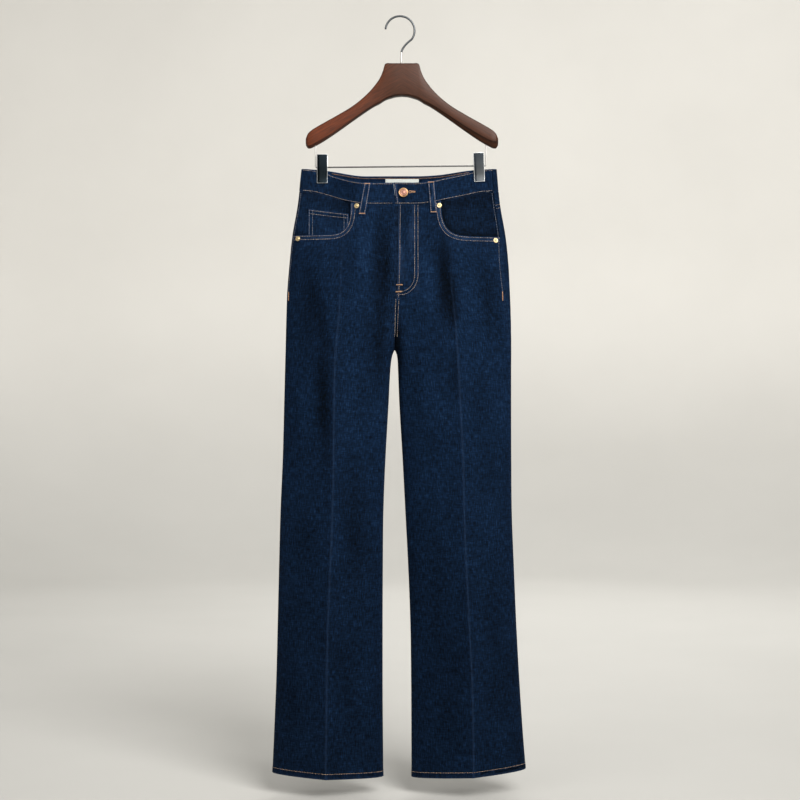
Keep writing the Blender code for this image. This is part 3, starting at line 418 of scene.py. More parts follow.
def form_normal(side, turn, drop):
    """The outward direction. Along the centre seams it keeps to the plane of the seam."""
    turn, drop = floats(turn, drop)
    after, before = (form_point(side, np.clip(turn + step, 0, 4), drop) for step in (NORMAL_TURN, -NORMAL_TURN))
    round_step = after - before
    below_crotch = drop > CROTCH_DROP
    low = np.where(below_crotch, CROTCH_DROP + 0.01, 0)
    high = np.where(below_crotch, 1e9, CROTCH_DROP)
    lower, upper = (form_point(side, turn, np.clip(drop + step, low, high)) for step in (NORMAL_DROP, -NORMAL_DROP))
    down_step = lower - upper
    normal = -SIGN[side] * np.cross(round_step, down_step)
    inner_edge = (turn < 0.001) | (turn > 3.999)
    outward = np.where(turn <= 2, -1.0, 1.0)
    tilt = xyz(0, outward, outward * down_step[..., 1] / np.abs(down_step[..., 2]))
    normal = np.where((inner_edge & ~below_crotch)[..., None], tilt, normal)
    normal = np.where((inner_edge & below_crotch)[..., None], np.array([-SIGN[side], 0.0, 0.0]), normal)
    return normal / np.linalg.norm(normal, axis=-1, keepdims=True)


def on_form(side, turn, drop):
    """The form's points and outward directions."""
    return form_point(side, turn, drop), form_normal(side, turn, drop)


HALVINGS = 34           # of the search for a turn


def turn_at(side, face, x, drop):
    """The turn at which the form's front or back lies at a given x."""
    x, drop = floats(x, drop)
    ring = half_ring(side, face, drop)
    low, high = np.zeros(x.shape), np.full(x.shape, 2.0)
    for _ in range(HALVINGS):
        middle = (low + high) / 2
        inside = (ring_x(ring, middle) - x) * SIGN[side] < 0
        low, high = np.where(inside, middle, low), np.where(inside, high, middle)
    step = (low + high) / 2
    return step if face == "front" else 4 - step


def form_at(face, x, drop):
    """The form's point and outward direction at a place on its front or back."""
    x, drop = floats(x, drop)
    points, normals = np.zeros(x.shape + (3,)), np.zeros(x.shape + (3,))
    for side in SIGN:
        here = (x < CENTRE["centre"](drop)) == (side == "left")
        if here.any():
            turn = turn_at(side, face, x[here], drop[here])
            points[here], normals[here] = on_form(side, turn, drop[here])
    return points, normals


# ---- edges of the pieces ----
def band_sag(x):
    """0 at the clips' outer sides, 1 across the middle, as the waistband sags between the clips."""
    in_from_clip = SAG_START - np.abs((x - WAIST_CENTRE) / WAIST_HALF)
    return ease(in_from_clip / np.where(x < WAIST_CENTRE, SAG_LEFT, SAG_RIGHT))


def band_top(face, x):
    return WAIST_DROP + (FRONT_DIP if face == "front" else BACK_DIP) * band_sag(x)


def waist_seam(face, x):
    extra = FRONT_BAND_LESS if face == "front" else 0.0
    return band_top(face, x) + BAND_HEIGHT + extra * band_sag(x)


YOKE_SIDE, YOKE_CENTRE, YOKE_REACH = 20.0, 66.0, 190     # its height at the side and the centre back


def yoke_seam(x):
    reach = np.clip(np.abs(x - WAIST_CENTRE) / YOKE_REACH, 0, 1)
    return waist_seam("back", x) + mix(YOKE_CENTRE, YOKE_SIDE, reach ** 0.9)


def outseam_turn(side, drop):
    if side == "left":
        return 2.0 + 0 * np.asarray(drop, float)
    fold = SECTION["right_fold"](drop)
    return turn_at(side, "front", fold - np.maximum(SECTION["outseam"](drop), 0.02), drop)


def hem_at(side, x, inner, fold):
    return mix(HEM[side].inner_drop, HEM[side].outer_drop, (x - inner) / (fold - inner))


def hem_round(side, turns):
    """The drop of the hem at each turn round the leg."""
    x, inner, fold = (form_point(side, turn, HEM_LEVEL)[..., 0] for turn in (turns, 0, 2))
    return hem_at(side, x, inner, fold)


SETTLE_START, SETTLE_TIMES = 340.0, 6


def settle_drop(side, turn, edge):
    """The drop at which an edge given across the garment meets a turn."""
    drop = np.full(np.shape(turn), SETTLE_START)
    for _ in range(SETTLE_TIMES):
        drop = edge(form_point(side, turn, drop)[..., 0])
    return drop


def scoop_edge(side, angle, outset=0.0):
    """Places along a pocket opening, from the waist seam to the side, or along a row outset from it."""
    row = SCOOP[side]
    start = waist_seam("front", row.end_x) + SEAM / 2
    side_x = float(form_point(side, outseam_turn(side, row.side_drop), row.side_drop)[0])
    x = row.end_x + (side_x - row.end_x) * (1 - np.cos(angle) ** (2 / row.square_x))
    drop = start + (row.side_drop - start) * np.sin(angle) ** (2 / row.square_drop)
    if outset:
        step_x, step_drop = np.gradient(x), np.gradient(drop)
        length = np.hypot(step_x, step_drop)
        x = x - SIGN[side] * outset * step_drop / length
        drop = drop + SIGN[side] * outset * step_x / length
    return x, drop


def scoop_angles(side, count):
    """Angles whose places lie evenly along a pocket opening."""
    angle = math.pi / 2 * (1 - np.linspace(1, 0, 3000) ** 5)
    x, drop = scoop_edge(side, angle)
    along = np.concatenate([[0], np.cumsum(np.hypot(np.diff(x), np.diff(drop)))])
    return np.interp(np.linspace(0, along[-1], count), along, angle)


def scoop_drop(side, x):
    """The drop of the pocket opening's edge below a given x."""
    edge_x, edge_drop = scoop_edge(side, np.linspace(0, math.pi / 2, 120))
    order = np.argsort(edge_x)
    return np.interp(x, edge_x[order], edge_drop[order])


LAP_RISE, LAP_WIDTH, LAP_END, LAP_FADE = 1.0, 26.0, 520.0, 60     # the right front laps over the left at the fly
J_X = 27.0                                          # the curved rows of stitching beside the fly


def lap_rise(x, drop):
    """How far the right front stands out over the fly."""
    over = 1 - ease((x - CENTRE["centre"](drop)) / LAP_WIDTH)
    return LAP_RISE * over * (1 - ease((drop - LAP_END + LAP_FADE) / LAP_FADE))


# ---- finishes ----
def linear(colour):
    channels = [int(colour[i:i + 2], 16) / 255 for i in (1, 3, 5)]
    return tuple(c / 12.92 if c < 0.04 else ((c + 0.055) / 1.055) ** 2.4 for c in channels) + (1.0,)


def new_finish(name, **sockets):
    finish = bpy.data.materials.new(name)
    finish.use_nodes = True
    shader = finish.node_tree.nodes["Principled BSDF"]
    for socket, value in sockets.items():
        shader.inputs[socket.replace("_", " ")].default_value = value
    return finish, finish.node_tree, shader


def add_node(tree, kind, inputs, **settings):
    node = tree.nodes.new(kind)
    for name, value in settings.items():
        setattr(node, name, value)
    for name, value in inputs.items():
        if isinstance(value, bpy.types.NodeSocket):
            tree.links.new(value, node.inputs[name])
        else:
            node.inputs[name].default_value = value
    return node


def coordinates(tree, kind="UV"):
    return add_node(tree, "ShaderNodeTexCoord", {}).outputs[kind]


def drawn_noise(tree, coords, sizes, detail=2.0, shift=0.0):
    """Noise whose lumps have the given sizes in metres, so that it can be drawn out into threads or grain."""
    place = add_node(tree, "ShaderNodeMapping", {
        "Vector": coords, "Scale": tuple(1 / size for size in sizes), "Location": (shift, shift, shift)})
    return add_node(tree, "ShaderNodeTexNoise", {
        "Vector": place.outputs[0], "Scale": 1.0, "Detail": detail, "Roughness": 0.55}).outputs["Fac"]


def maths(tree, operation, a, b):
    return add_node(tree, "ShaderNodeMath", {0: a, 1: b}, operation=operation).outputs[0]


def weighted(tree, a, share_a, b, share_b):
    return maths(tree, "ADD", maths(tree, "MULTIPLY", a, share_a), maths(tree, "MULTIPLY", b, share_b))


def blend_colours(tree, share, a, b):
    node = add_node(tree, "ShaderNodeMix", {"Factor": share}, data_type="RGBA")
    for socket, value in ((node.inputs[6], a), (node.inputs[7], b)):
        if isinstance(value, bpy.types.NodeSocket):
            tree.links.new(value, socket)
        else:
            socket.default_value = value
    return node.outputs[2]


def ramp(tree, share, stops):
    node = add_node(tree, "ShaderNodeValToRGB", {"Fac": share})
    elements = node.color_ramp.elements
    while len(elements) < len(stops):
        elements.new(0.5)
    for element, (place, colour) in zip(elements, stops):
        element.position = place
        element.color = linear(colour)
    return node.outputs["Color"]


def add_bump(tree, shader, height, distance, strength=1.0):
    bump = add_node(tree, "ShaderNodeBump", {"Height": height, "Distance": distance, "Strength": strength})
    tree.links.new(bump.outputs["Normal"], shader.inputs["Normal"])


def attribute(tree, name):
    return add_node(tree, "ShaderNodeAttribute", {}, attribute_name=name).outputs["Fac"]


TWILL_SCALE = 400      # diagonal ribs 1.1 mm apart
PAINTED_SHADE_STRENGTH = 0.20     # how much painted shade darkens the cloth at the bottom of a fold and in the other shaded places
WARP_SHARE, WEFT_SHARE, CLOUD_SHARE = 0.80, 0.46, 0.20      # of the threads' and the cloudy cast's tones


def denim(name, stops, worn):
    """Ring-spun denim: slubs along and across, twill ribs, a cloudy cast, paler wear along its edges and painted
    shade where the trough attribute says.
    """
    finish, tree, shader = new_finish(name, Roughness=0.86, Specular_IOR_Level=0.035, Sheen_Weight=0.02,
                                      Sheen_Roughness=0.45, Sheen_Tint=linear("#6f86b0"))
    uv = coordinates(tree)
    warp = drawn_noise(tree, uv, (0.0019, 0.012, 1), 3.0)
    weft = drawn_noise(tree, uv, (0.009, 0.0018, 1), 2.0, 7.3)
    cloud = drawn_noise(tree, coordinates(tree, "Object"), (0.04, 0.04, 0.10), 3.0)
    slub = weighted(tree, warp, WARP_SHARE, weft, WEFT_SHARE)
    tone = maths(tree, "ADD", slub, maths(tree, "MULTIPLY", cloud, CLOUD_SHARE))
    tone = maths(tree, "SUBTRACT", tone, (WARP_SHARE + WEFT_SHARE + CLOUD_SHARE - 1) / 2)
    # Painted shade: the trough attribute darkens the cloth in its folds, in shaded recesses and towards the hems.
    tone = maths(tree, "SUBTRACT", tone, maths(tree, "MULTIPLY", attribute(tree, "trough"), PAINTED_SHADE_STRENGTH))
    colour = ramp(tree, tone, stops)
    colour = blend_colours(tree, attribute(tree, "wear"), colour, linear(worn))
    tree.links.new(colour, shader.inputs["Base Color"])
    twill = add_node(tree, "ShaderNodeTexWave", {"Vector": uv, "Scale": TWILL_SCALE, "Distortion": 0.6,
                                                 "Detail": 1.0}, bands_direction="DIAGONAL").outputs["Fac"]
    ribs = maths(tree, "ADD", maths(tree, "MULTIPLY", twill, 0.5), slub)
    add_bump(tree, shader, ribs, 0.00016, 0.8)
    return finish


def thread(name, dark, middle, light):
    """Twisted thread, whose tone changes a little from stitch to stitch."""
    finish, tree, shader = new_finish(name, Roughness=0.62, Specular_IOR_Level=0.3, Sheen_Weight=0.15)
    twist = drawn_noise(tree, coordinates(tree, "Object"), (0.0005, 0.0005, 0.0005), 1.0)
    tone = weighted(tree, attribute(tree, "tone"), 0.7, twist, 0.3)
    tree.links.new(ramp(tree, tone, ((0.1, dark), (0.5, middle), (0.9, light))), shader.inputs["Base Color"])
    add_bump(tree, shader, twist, 0.0002)
    return finish


def metal(name, colour, roughness, worn, grain=(0.004, 0.004, 0.004), shaded=None, metallic=1.0):
    """Plated metal with fine handling marks that dull it in places, and painted shade where the shade attribute says.
    """
    finish, tree, shader = new_finish(name, Metallic=metallic)
    marks = drawn_noise(tree, coordinates(tree, "Object"), grain, 4.0)
    tint = blend_colours(tree, maths(tree, "MULTIPLY", marks, 0.5), linear(colour), linear(worn))
    if shaded:
        tint = blend_colours(tree, attribute(tree, "shade"), tint, linear(shaded))
    tree.links.new(tint, shader.inputs["Base Color"])
    dull = maths(tree, "ADD", maths(tree, "MULTIPLY", marks, 0.2), roughness - 0.1)
    tree.links.new(dull, shader.inputs["Roughness"])
    add_bump(tree, shader, marks, 0.00008, 0.4)
    return finish


def walnut(name):
    """Stained wood: streaks and pores along the arms, redder on the left arm, under a satin lacquer, with painted
    shade along its rounded top and in the bevel's corner.
    """
    finish, tree, shader = new_finish(name, Roughness=0.45, Coat_Weight=0.05, Coat_Roughness=0.25,
                                      Specular_IOR_Level=0.16)
    uv = coordinates(tree)
    streak = drawn_noise(tree, uv, (0.034, 0.0028, 1), 4.0)
    pore = drawn_noise(tree, uv, (0.008, 0.0007, 1), 2.0, 3.1)
    figure = weighted(tree, streak, 0.75, pore, 0.25)
    brown = ramp(tree, figure, ((0.3, "#2b1509"), (0.5, "#3c1f0f"), (0.72, "#4c2814")))
    red = ramp(tree, figure, ((0.3, "#341507"), (0.5, "#4f220b"), (0.72, "#683012")))
    across = add_node(tree, "ShaderNodeSeparateXYZ", {"Vector": coordinates(tree, "Object")}).outputs["X"]
    to_left = add_node(tree, "ShaderNodeMapRange", {
        "Value": across, "From Min": -0.01, "From Max": -0.10, "To Min": 0.0, "To Max": 1.0}).outputs[0]
    colour = blend_colours(tree, to_left, brown, red)
    # Painted shade, darkest along the rounded top and in the bevel's corner.
    edges = maths(tree, "MULTIPLY", attribute(tree, "shade"), 0.8)
    tree.links.new(blend_colours(tree, edges, colour, linear("#160a05")), shader.inputs["Base Color"])
    add_bump(tree, shader, pore, 0.0002, 0.6)
    return finish


def tape(name, dark, light):
    """Woven cotton tape."""
    finish, tree, shader = new_finish(name, Roughness=0.8, Specular_IOR_Level=0.2, Sheen_Weight=0.1)
    uv = coordinates(tree)
    weave = weighted(tree, drawn_noise(tree, uv, (0.0008, 0.004, 1)), 0.5,
                     drawn_noise(tree, uv, (0.004, 0.0008, 1), 2.0, 5.0), 0.5)
    tree.links.new(ramp(tree, weave, ((0.35, dark), (0.65, light))), shader.inputs["Base Color"])
    add_bump(tree, shader, weave, 0.0002)
    return finish


FLOOR_Z = -1412.0


def studio_paper(name):
    """Paper that is a little greyer on the floor, which gets the most light."""
    finish, tree, shader = new_finish(name, Roughness=0.95, Specular_IOR_Level=0.1)
    place = coordinates(tree, "Object")
    grain = drawn_noise(tree, place, (0.6, 0.6, 0.6), 3.0)
    height = add_node(tree, "ShaderNodeSeparateXYZ", {"Vector": place}).outputs["Z"]
    to_wall = add_node(tree, "ShaderNodeMapRange", {
        "Value": height, "From Min": FLOOR_Z * MM, "From Max": FLOOR_Z * MM + 1.4, "To Min": 0.0, "To Max": 1.0},
        interpolation_type="SMOOTHSTEP").outputs[0]
    floor = ramp(tree, grain, ((0.3, "#b2b1ad"), (0.7, "#b5b4b0")))
    wall = ramp(tree, grain, ((0.3, "#dcdad5"), (0.7, "#e0ded9")))
    tree.links.new(blend_colours(tree, to_wall, floor, wall), shader.inputs["Base Color"])
    return finish


DENIM = denim("dark indigo denim", ((0.20, "#010409"), (0.34, "#030b18"), (0.44, "#061222"), (0.52, "#08172a"),
                                    (0.60, "#0b1c33"), (0.72, "#152942")), "#34496a")
DENIM_INSIDE = denim("denim, inner side out", ((0.38, "#121a28"), (0.5, "#222c3f"), (0.64, "#4a5569")), "#3d485c")
TAN_THREAD = thread("tan topstitching", "#5c5560", "#877869", "#b5a491")
SIDE_THREAD = thread("faded side topstitching", "#3a4357", "#596172", "#857f7c")
HEM_THREAD = thread("hem stitching", "#66564a", "#8d745e", "#b69678")
BROWN_THREAD = thread("brown chain stitch", "#38261b", "#533725", "#704a32")
ORANGE_THREAD = thread("orange bar tacks", "#7c5a3c", "#a57a52", "#c4986e")
TAPE = tape("white cotton tape", "#a8aca7", "#bdc1bc")
COPPER = metal("rose copper", "#8c6658", 0.44, "#604640")
GOLD = metal("pale gold rim", "#c29a70", 0.34, "#8c6745")
BRASS = metal("pale brass", "#bfac84", 0.38, "#8a7856", metallic=0.85)
WALNUT = walnut("dark walnut")
CHROME = metal("polished chrome", "#585b5d", 0.4, "#43464a")
# A lit copy of the hook's and bar's metal, for the wire that faces the light: painted light.
WIRE_LIT_COPY = metal("chrome, painted light", "#bdbbb7", 0.45, "#a9a7a4", metallic=0.45)
RIM = metal("polished steel edge", "#c9cdcf", 0.35, "#a9adb0", metallic=0.85)
# A lit copy of the steel edge for the right clip: painted light.
STEEL_EDGE_LIT_COPY = metal("steel edge, painted light", "#e4e5e5", 0.35, "#cfd0d0", metallic=0.5)
WIRE = metal("dull plated wire", "#6f6f6c", 0.3, "#55565a")
# The right clip's plates: painted shade darkens their stripe and their top.
STEEL = metal("plated steel", "#55585a", 0.45, "#47494b", shaded="#1b2127")
# A shaded copy of the plated steel for the left clip: painted shade.
STEEL_SHADED_COPY = metal("dark plated steel", "#262f36", 0.34, "#1d252b", shaded="#040708")
PAPER = studio_paper("pale warm studio paper")


# ---- building meshes ----
def add_mesh(name, points, faces, finishes, uv=None, attributes=None, face_finish=None, sharp=None):
    """A smooth mesh from points in millimetres. uv and attributes have a row for each point."""
    mesh = bpy.data.meshes.new(name)
    mesh.from_pydata((np.asarray(points) * MM).tolist(), [],
                     faces.tolist() if isinstance(faces, np.ndarray) else faces)
    corners = np.empty(len(mesh.loops), np.int32)
    mesh.loops.foreach_get("vertex_index", corners)
    if uv is not None:
        layer = mesh.uv_layers.new(name="UVMap")
        layer.data.foreach_set("uv", np.asarray(uv, np.float32)[corners].ravel())
    for key, values in (attributes or {}).items():
        layer = mesh.attributes.new(key, "FLOAT", "POINT")
        layer.data.foreach_set("value", np.asarray(values, np.float32).ravel())
    for finish in finishes:
        mesh.materials.append(finish)
    if face_finish is not None:
        mesh.polygons.foreach_set("material_index", np.asarray(face_finish, np.int32))
    mesh.shade_smooth()
    if sharp is not None:
        mesh.set_sharp_from_angle(angle=math.radians(sharp))
    made = bpy.data.objects.new(name, mesh)
    bpy.context.scene.collection.objects.link(made)
    return made


def dress(piece, slot, *nodes):
    """The piece rides on the one body and stands for its solids. The slot is not used."""
    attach(piece, "root")
    if nodes:
        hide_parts(*nodes)
    return piece


def support_edges(arrays, reach):
    """Adds a row or column just inside each edge of a grid, so that the edge can roll over."""
    def add_rows(stack):
        points = stack[0]
        for outer, beside, at in ((0, 1, 1), (-1, -2, -1)):
            length = np.linalg.norm(points[beside] - points[outer], axis=-1)
            share = np.minimum(reach / np.maximum(length, 1e-6), 0.45)
            made = []
            for values in stack:
                weight = share[:, None] if values.ndim == 3 else share
                made.append(np.insert(values, at if at > 0 else len(values) - 1,
                                      mix(values[outer], values[beside], weight), axis=0))
            stack = made
            points = stack[0]
        return stack

    stack = add_rows([np.asarray(values, float) for values in arrays])
    stack = add_rows([values.swapaxes(0, 1) for values in stack])
    return [values.swapaxes(0, 1) for values in stack]


def grid_faces(rows, columns):
    """The quads of a closed wall: its outer skin, its inner skin and the rim between them."""
    index = np.arange(rows * columns).reshape(rows, columns)
    outer = np.stack([index[:-1, :-1], index[:-1, 1:], index[1:, 1:], index[1:, :-1]], axis=-1).reshape(-1, 4)
    inner = outer[:, ::-1] + rows * columns
    loop = np.concatenate([index[0], index[1:, -1], index[-1, -2::-1], index[-2:0:-1, 0]])
    after = np.roll(loop, -1)
    rim = np.stack([loop, loop + rows * columns, after + rows * columns, after], axis=-1)
    return outer, inner, rim


def ring_faces(count, sides, inside_out=False):
    """The quads between rings of points that follow one another, and the two caps."""
    index = np.arange(count * sides).reshape(count, sides)
    after = np.roll(index, -1, axis=1)
    quads, caps = [index[:-1], after[:-1], after[1:], index[1:]], [index[0][::-1], index[-1]]
    if inside_out:
        quads, caps = [quads[k] for k in (0, 3, 2, 1)], [cap[::-1] for cap in caps]
    return np.stack(quads, axis=-1).reshape(-1, 4).tolist() + [cap.tolist() for cap in caps]


ROLL, PLATE_ROLL = 0.42, 0.55   # what is left of a wall's or a plate's thickness at its very edge, which rolls over
PLATE_SUPPORT = 0.45
TROUGH_DEPTH, TROUGH_LEAST, TROUGH_MOST = 5.5, -0.3, 1.3    # the fold depth that counts as 1 of painted shade, and the limits


def closed_wall(points, normals, middle, half):
    """The points and faces of both skins of a wall over a grid and its rim, and how many faces each has."""
    skins = [points + normals * (middle + half * way)[..., None] for way in (1, -1)]
    parts = grid_faces(*points.shape[:2])
    faces = np.concatenate(parts)
    if np.cross(points[0, 1] - points[0, 0], points[1, 0] - points[0, 0]) @ normals[0, 0] <= 0:
        faces = faces[:, ::-1]
    return np.concatenate([skin.reshape(-1, 3) for skin in skins]), faces, [len(part) for part in parts]


def thin_edge(shape, share):
    """1 over a grid, and the share of its thickness that is left along its edge."""
    thickness = np.full(shape, float(share))
    thickness[1:-1, 1:-1] = 1
    return thickness


def painted_fold_shade(points):
    """How deep in a fold each point lies, from -1 on a ridge to 1 in a trough: this sets painted shade in the folds
    and painted light on the ridges.
    """
    x, drop = points[..., 0], -points[..., 2]
    front, back = (fold_depth(FOLDS + SOFT_FOLDS, face, x, drop) / TROUGH_DEPTH + fold_depth(PAINTED_FOLD_SHADES, face, x, drop)
                   for face in ("front", "back"))
    return np.clip(np.where(points[..., 1] < 0, front, back), TROUGH_LEAST, TROUGH_MOST)


def cloth(name, node, points, normals, outer, inner, wear=0, shade=0, finish=None, lining=None, slot="denim",
          roll_reach=0.9):
    """A closed thin wall of cloth over a grid on the form. outer and inner are its skins' places."""
    shape = points.shape[:2]
    outer, inner, wear, shade = (np.broadcast_to(values, shape) for values in (outer, inner, wear, shade))
    step = np.linalg.norm(np.diff(points, axis=1), axis=-1)
    across = np.concatenate([np.zeros((shape[0], 1)), np.cumsum(step, axis=1)], axis=1)
    across = across - across[:, shape[1] // 2][:, None] + points[:, shape[1] // 2, 0].mean()
    points, normals, outer, inner, wear, shade, across = support_edges(
        [points, normals, outer, inner, wear, shade, across], roll_reach)
    half = (outer - inner) / 2 * thin_edge(points.shape[:2], ROLL)
    skins, faces, counts = closed_wall(points, normals, (outer + inner) / 2, half)
    uv = np.stack([across, points[..., 2]], axis=-1).reshape(-1, 2) * MM
    finishes = [finish or DENIM] + ([lining] if lining else [])
    # The trough attribute carries painted shade: the folds' own and any shade given.
    looks = {"wear": np.tile(wear.ravel(), 2), "trough": np.tile((painted_fold_shade(points) + shade).ravel(), 2)}
    piece = add_mesh(name, skins, faces, finishes, np.concatenate([uv, uv]), looks,
                     np.repeat([0, 1 if lining else 0, 0], counts))
    return dress(piece, slot, node)


def trim_edges(points, edges):
    """Moves the grid's named edges in by half a seam, so that neighbours stay a seam apart."""
    def pull_in(edge, beside):
        away = beside - edge
        return edge + away / np.linalg.norm(away, axis=-1, keepdims=True) * SEAM / 2

    trimmed = points.copy()
    if "first" in edges:
        trimmed[:, 0] = pull_in(trimmed[:, 0], trimmed[:, 1])
    if "last" in edges:
        trimmed[:, -1] = pull_in(trimmed[:, -1], trimmed[:, -2])
    return trimmed


# ---- panels ----
SEAM_COLUMNS, CREASE_IN_SCOOP, SCOOP_STEPS = 20, 9, 28
BACK_INNER_COLUMNS, BACK_OUTER_COLUMNS = 27, 22
RISE_ROWS, LEG_ROWS, YOKE_ROWS = 72, 236, 8
WAIST_STATIONS = {"left": (-117.0, -131.0, -155.0, -167.0, -176.5), "right": (97.0, 116.0, 129.5, 153.5, 162.0)}
BACK_LEVEL = 360.0      # the level at which the back panels' top columns are laid out
FINE = 6                # columns of the cloth for each column of the solid at the waist


def refine(values, times):
    """Puts more values evenly between those of a list."""
    places = np.arange(len(values))
    return np.interp(np.linspace(0, len(values) - 1, (len(values) - 1) * times + 1), places, values)


def front_seam_turns(side, columns):
    end_x = SCOOP[side].end_x
    end_turn = float(turn_at(side, "front", end_x, waist_seam("front", end_x)))
    return np.linspace(0, end_turn, columns + 1)


def waist_turns(side, face, inner_turns, drop):
    stations = turn_at(side, face, np.array(WAIST_STATIONS[side]), drop)
    turns = np.concatenate([inner_turns, stations, [float(outseam_turn(side, drop))]])
    return refine(turns, FINE)


def back_turns(side, drop):
    inner = np.linspace(4, 3, BACK_INNER_COLUMNS + 1)
    share = np.linspace(0, 1, BACK_OUTER_COLUMNS + 1)[1:]
    outer = 3 - share * (3 - np.asarray(outseam_turn(side, drop))[..., None])
    return np.concatenate([np.broadcast_to(inner, outer.shape[:-1] + inner.shape), outer], axis=-1)


SHUT_SEAM = 150.0       # how far above the hem the side seams leave no gap
PAINTED_LOW_SHADE = 0.3         # painted shade: the legs a little darker towards the hems
WORN_CREASE, WORN_EDGE, WORN_SEAM = 0.11, 0.25, 0.13     # how pale the cloth is worn there


def from_scoop(side, x, drops):
    """How far each place is from the edge of its side's scoop."""
    edge_x, edge_drop = scoop_edge(side, scoop_angles(side, 80))
    return np.sqrt(((x[..., None] - edge_x) ** 2 + (drops[..., None] - edge_drop) ** 2).min(axis=-1))


def painted_panel_shade(side, face, points, drops):
    """Painted shade: darker cloth beside the lapped fly, in the crotch, down the right leg's inner edge and towards
    the hems.
    """
    x = points[..., 0]
    low = PAINTED_LOW_SHADE * ease((drops - 620) / 650)
    if face == "back":
        return low
    from_centre, from_inner = x - CENTRE["centre"](drops), x - INNER[side + "_inner"](drops)
    beside_fly = near(from_centre, 2.6) * between(drops, 340, 10, 520, 20)
    crotch = near(from_centre - 1, 10) * between(drops, 545, 35, 620, 60)
    inseam = near(from_inner, 4) * between(drops, 600, 30, 700, 350)
    if side == "left":
        return low + beside_fly * 0.8
    return low + crotch * 1.7 + inseam * 0.7


def panel_wear(side, face, points, drops, hem):
    """Paler cloth along the pressed line, the seams' ridges, the fly and the hem."""
    x = points[..., 0]
    crease = SECTION[side + "_crease"](drops)
    wear = WORN_CREASE * SECTION["pressed"](drops) * near(x - crease, 1.4)
    ridge = np.clip(np.sin(2 * np.pi * (drops / PULL_PITCH + 0.6 * WANDER(drops, 0 * drops))), 0, 1)
    for edge in (points[:, :1, 0], points[:, -1:, 0]):
        wear = np.maximum(wear, WORN_SEAM * ridge * near(x - edge, 4))
    wear = np.maximum(wear, WORN_EDGE * near(hem - drops, 1.6))
    if face == "front" and side == "right":
        placket = (x < J_X + 5) & (drops < 505)
        mottle = np.clip(RUMPLE["back"](x * 1.7, drops * 0.8), 0, 1)
        wear = np.maximum(wear, np.where(placket, 0.14 * mottle, 0))
        wear = np.maximum(wear, 0.26 * near(x - points[:, :1, 0], 1.4) * (drops < 515))
    if face == "front":
        away = from_scoop(side, x, drops)
        broken = 0.6 + 0.4 * RUMPLE["front"](x * 2.5, drops * 2.5)
        wear = np.maximum(wear, broken * (0.3 * near(away - 5.2, 2.4) + 0.45 * near(away, 1.4)))
    return wear


def leg_panel(side, face, top_turn, top_drop, low_turns, start):
    """A front or back panel: rows from its top edge to the crotch, then down to the hem."""
    turns, drops = [], []
    levels = np.linspace(start, CROTCH_DROP, RISE_ROWS + (YOKE_ROWS if face == "back" else 0) + 1)
    for level in levels:
        v = (level - levels[0]) / (CROTCH_DROP - levels[0])
        drop = mix(top_drop, CROTCH_DROP, v)
        turns.append(mix(top_turn, low_turns(drop), ease(v)))
        drops.append(drop)
    low = low_turns(np.full(top_turn.shape, CROTCH_DROP))
    hem = hem_round(side, low)
    share = np.linspace(0, 1, LEG_ROWS + 1)[1:-1]
    share = np.concatenate([[0.0008, 0.004, 0.012], share[share > 0.012]])
    for place in list(share) + [None, 1]:
        drop = hem - HEM_BAND * 0.5 if place is None else mix(CROTCH_DROP, hem, place)
        turns.append(low_turns(drop))
        drops.append(drop)
    turns, drops = np.array(turns), np.array(drops)
    order = np.argsort(drops.mean(axis=1), kind="stable")
    turns, drops = turns[order], drops[order]
    turns[:, -1] = outseam_turn(side, drops[:, -1])
    points, normals = on_form(side, turns, drops)
    # Near the hem the seams are shut, or daylight would show through them.
    shut = ease((drops - (hem - SHUT_SEAM)) / 40)[..., None]
    trimmed = mix(trim_edges(points, ("first", "last")), points, shut)
    below = drops[:, 0] > CROTCH_DROP
    points[:, -1] = trimmed[:, -1]
    points[below, 0] = trimmed[below, 0]
    in_hem = ease((drops - (hem - HEM_BAND)) / 1.2)
    outer = WALL / 2 + 0.3 * in_hem
    inner = -WALL / 2 - 0.9 * in_hem
    if face == "front" and side == "right":
        rise = lap_rise(points[..., 0], drops)
        outer, inner = outer + rise, inner + rise
    # Along the centre seam the two sides keep a seam apart, whatever way the cloth leans there.
    limit = CENTRE["centre"](drops) + SIGN[side] * SEAM / 2
    past = (points[..., 0] - limit) * SIGN[side] < 0
    points[..., 0] = np.where(past & (drops <= CROTCH_DROP), limit, points[..., 0])
    return cloth(f"denim_{face}_{side}", f"{face}_panel_{side}", points, normals, outer, inner,
                 panel_wear(side, face, points, drops, hem), painted_panel_shade(side, face, points, drops),
                 lining=DENIM_INSIDE)


def front_panel(side):
    seam_turns = front_seam_turns(side, SEAM_COLUMNS)
    seam_drops = settle_drop(side, seam_turns, lambda x: waist_seam("front", x)) + SEAM / 2
    x, drop = scoop_edge(side, scoop_angles(side, SCOOP_STEPS + 1))
    scoop_turns = turn_at(side, "front", x, drop)
    top_turn = np.concatenate([seam_turns, scoop_turns[1:]])
    top_drop = np.concatenate([seam_drops, drop[1:]])
    inner = SEAM_COLUMNS + CREASE_IN_SCOOP
    outer = SCOOP_STEPS - CREASE_IN_SCOOP

    def low_turns(drops):
        side_turn = outseam_turn(side, drops[..., -1])
        share = np.linspace(0, 1, outer + 1)[1:]
        to_crease = np.broadcast_to(np.linspace(0, 1, inner + 1), drops.shape[:-1] + (inner + 1,))
        to_side = 1 + share * (np.asarray(side_turn)[..., None] - 1)
        return np.concatenate([to_crease, to_side], axis=-1)

    return leg_panel(side, "front", top_turn, top_drop, low_turns, SCOOP[side].side_drop)


def back_panel(side):
    top_turn = back_turns(side, BACK_LEVEL)
    top_drop = settle_drop(side, top_turn, yoke_seam) + SEAM / 2

    def low_turns(drops):
        return back_turns(side, drops[..., -1])

    start = float(settle_drop(side, outseam_turn(side, SETTLE_START), yoke_seam))
    return leg_panel(side, "back", top_turn, top_drop, low_turns, start)


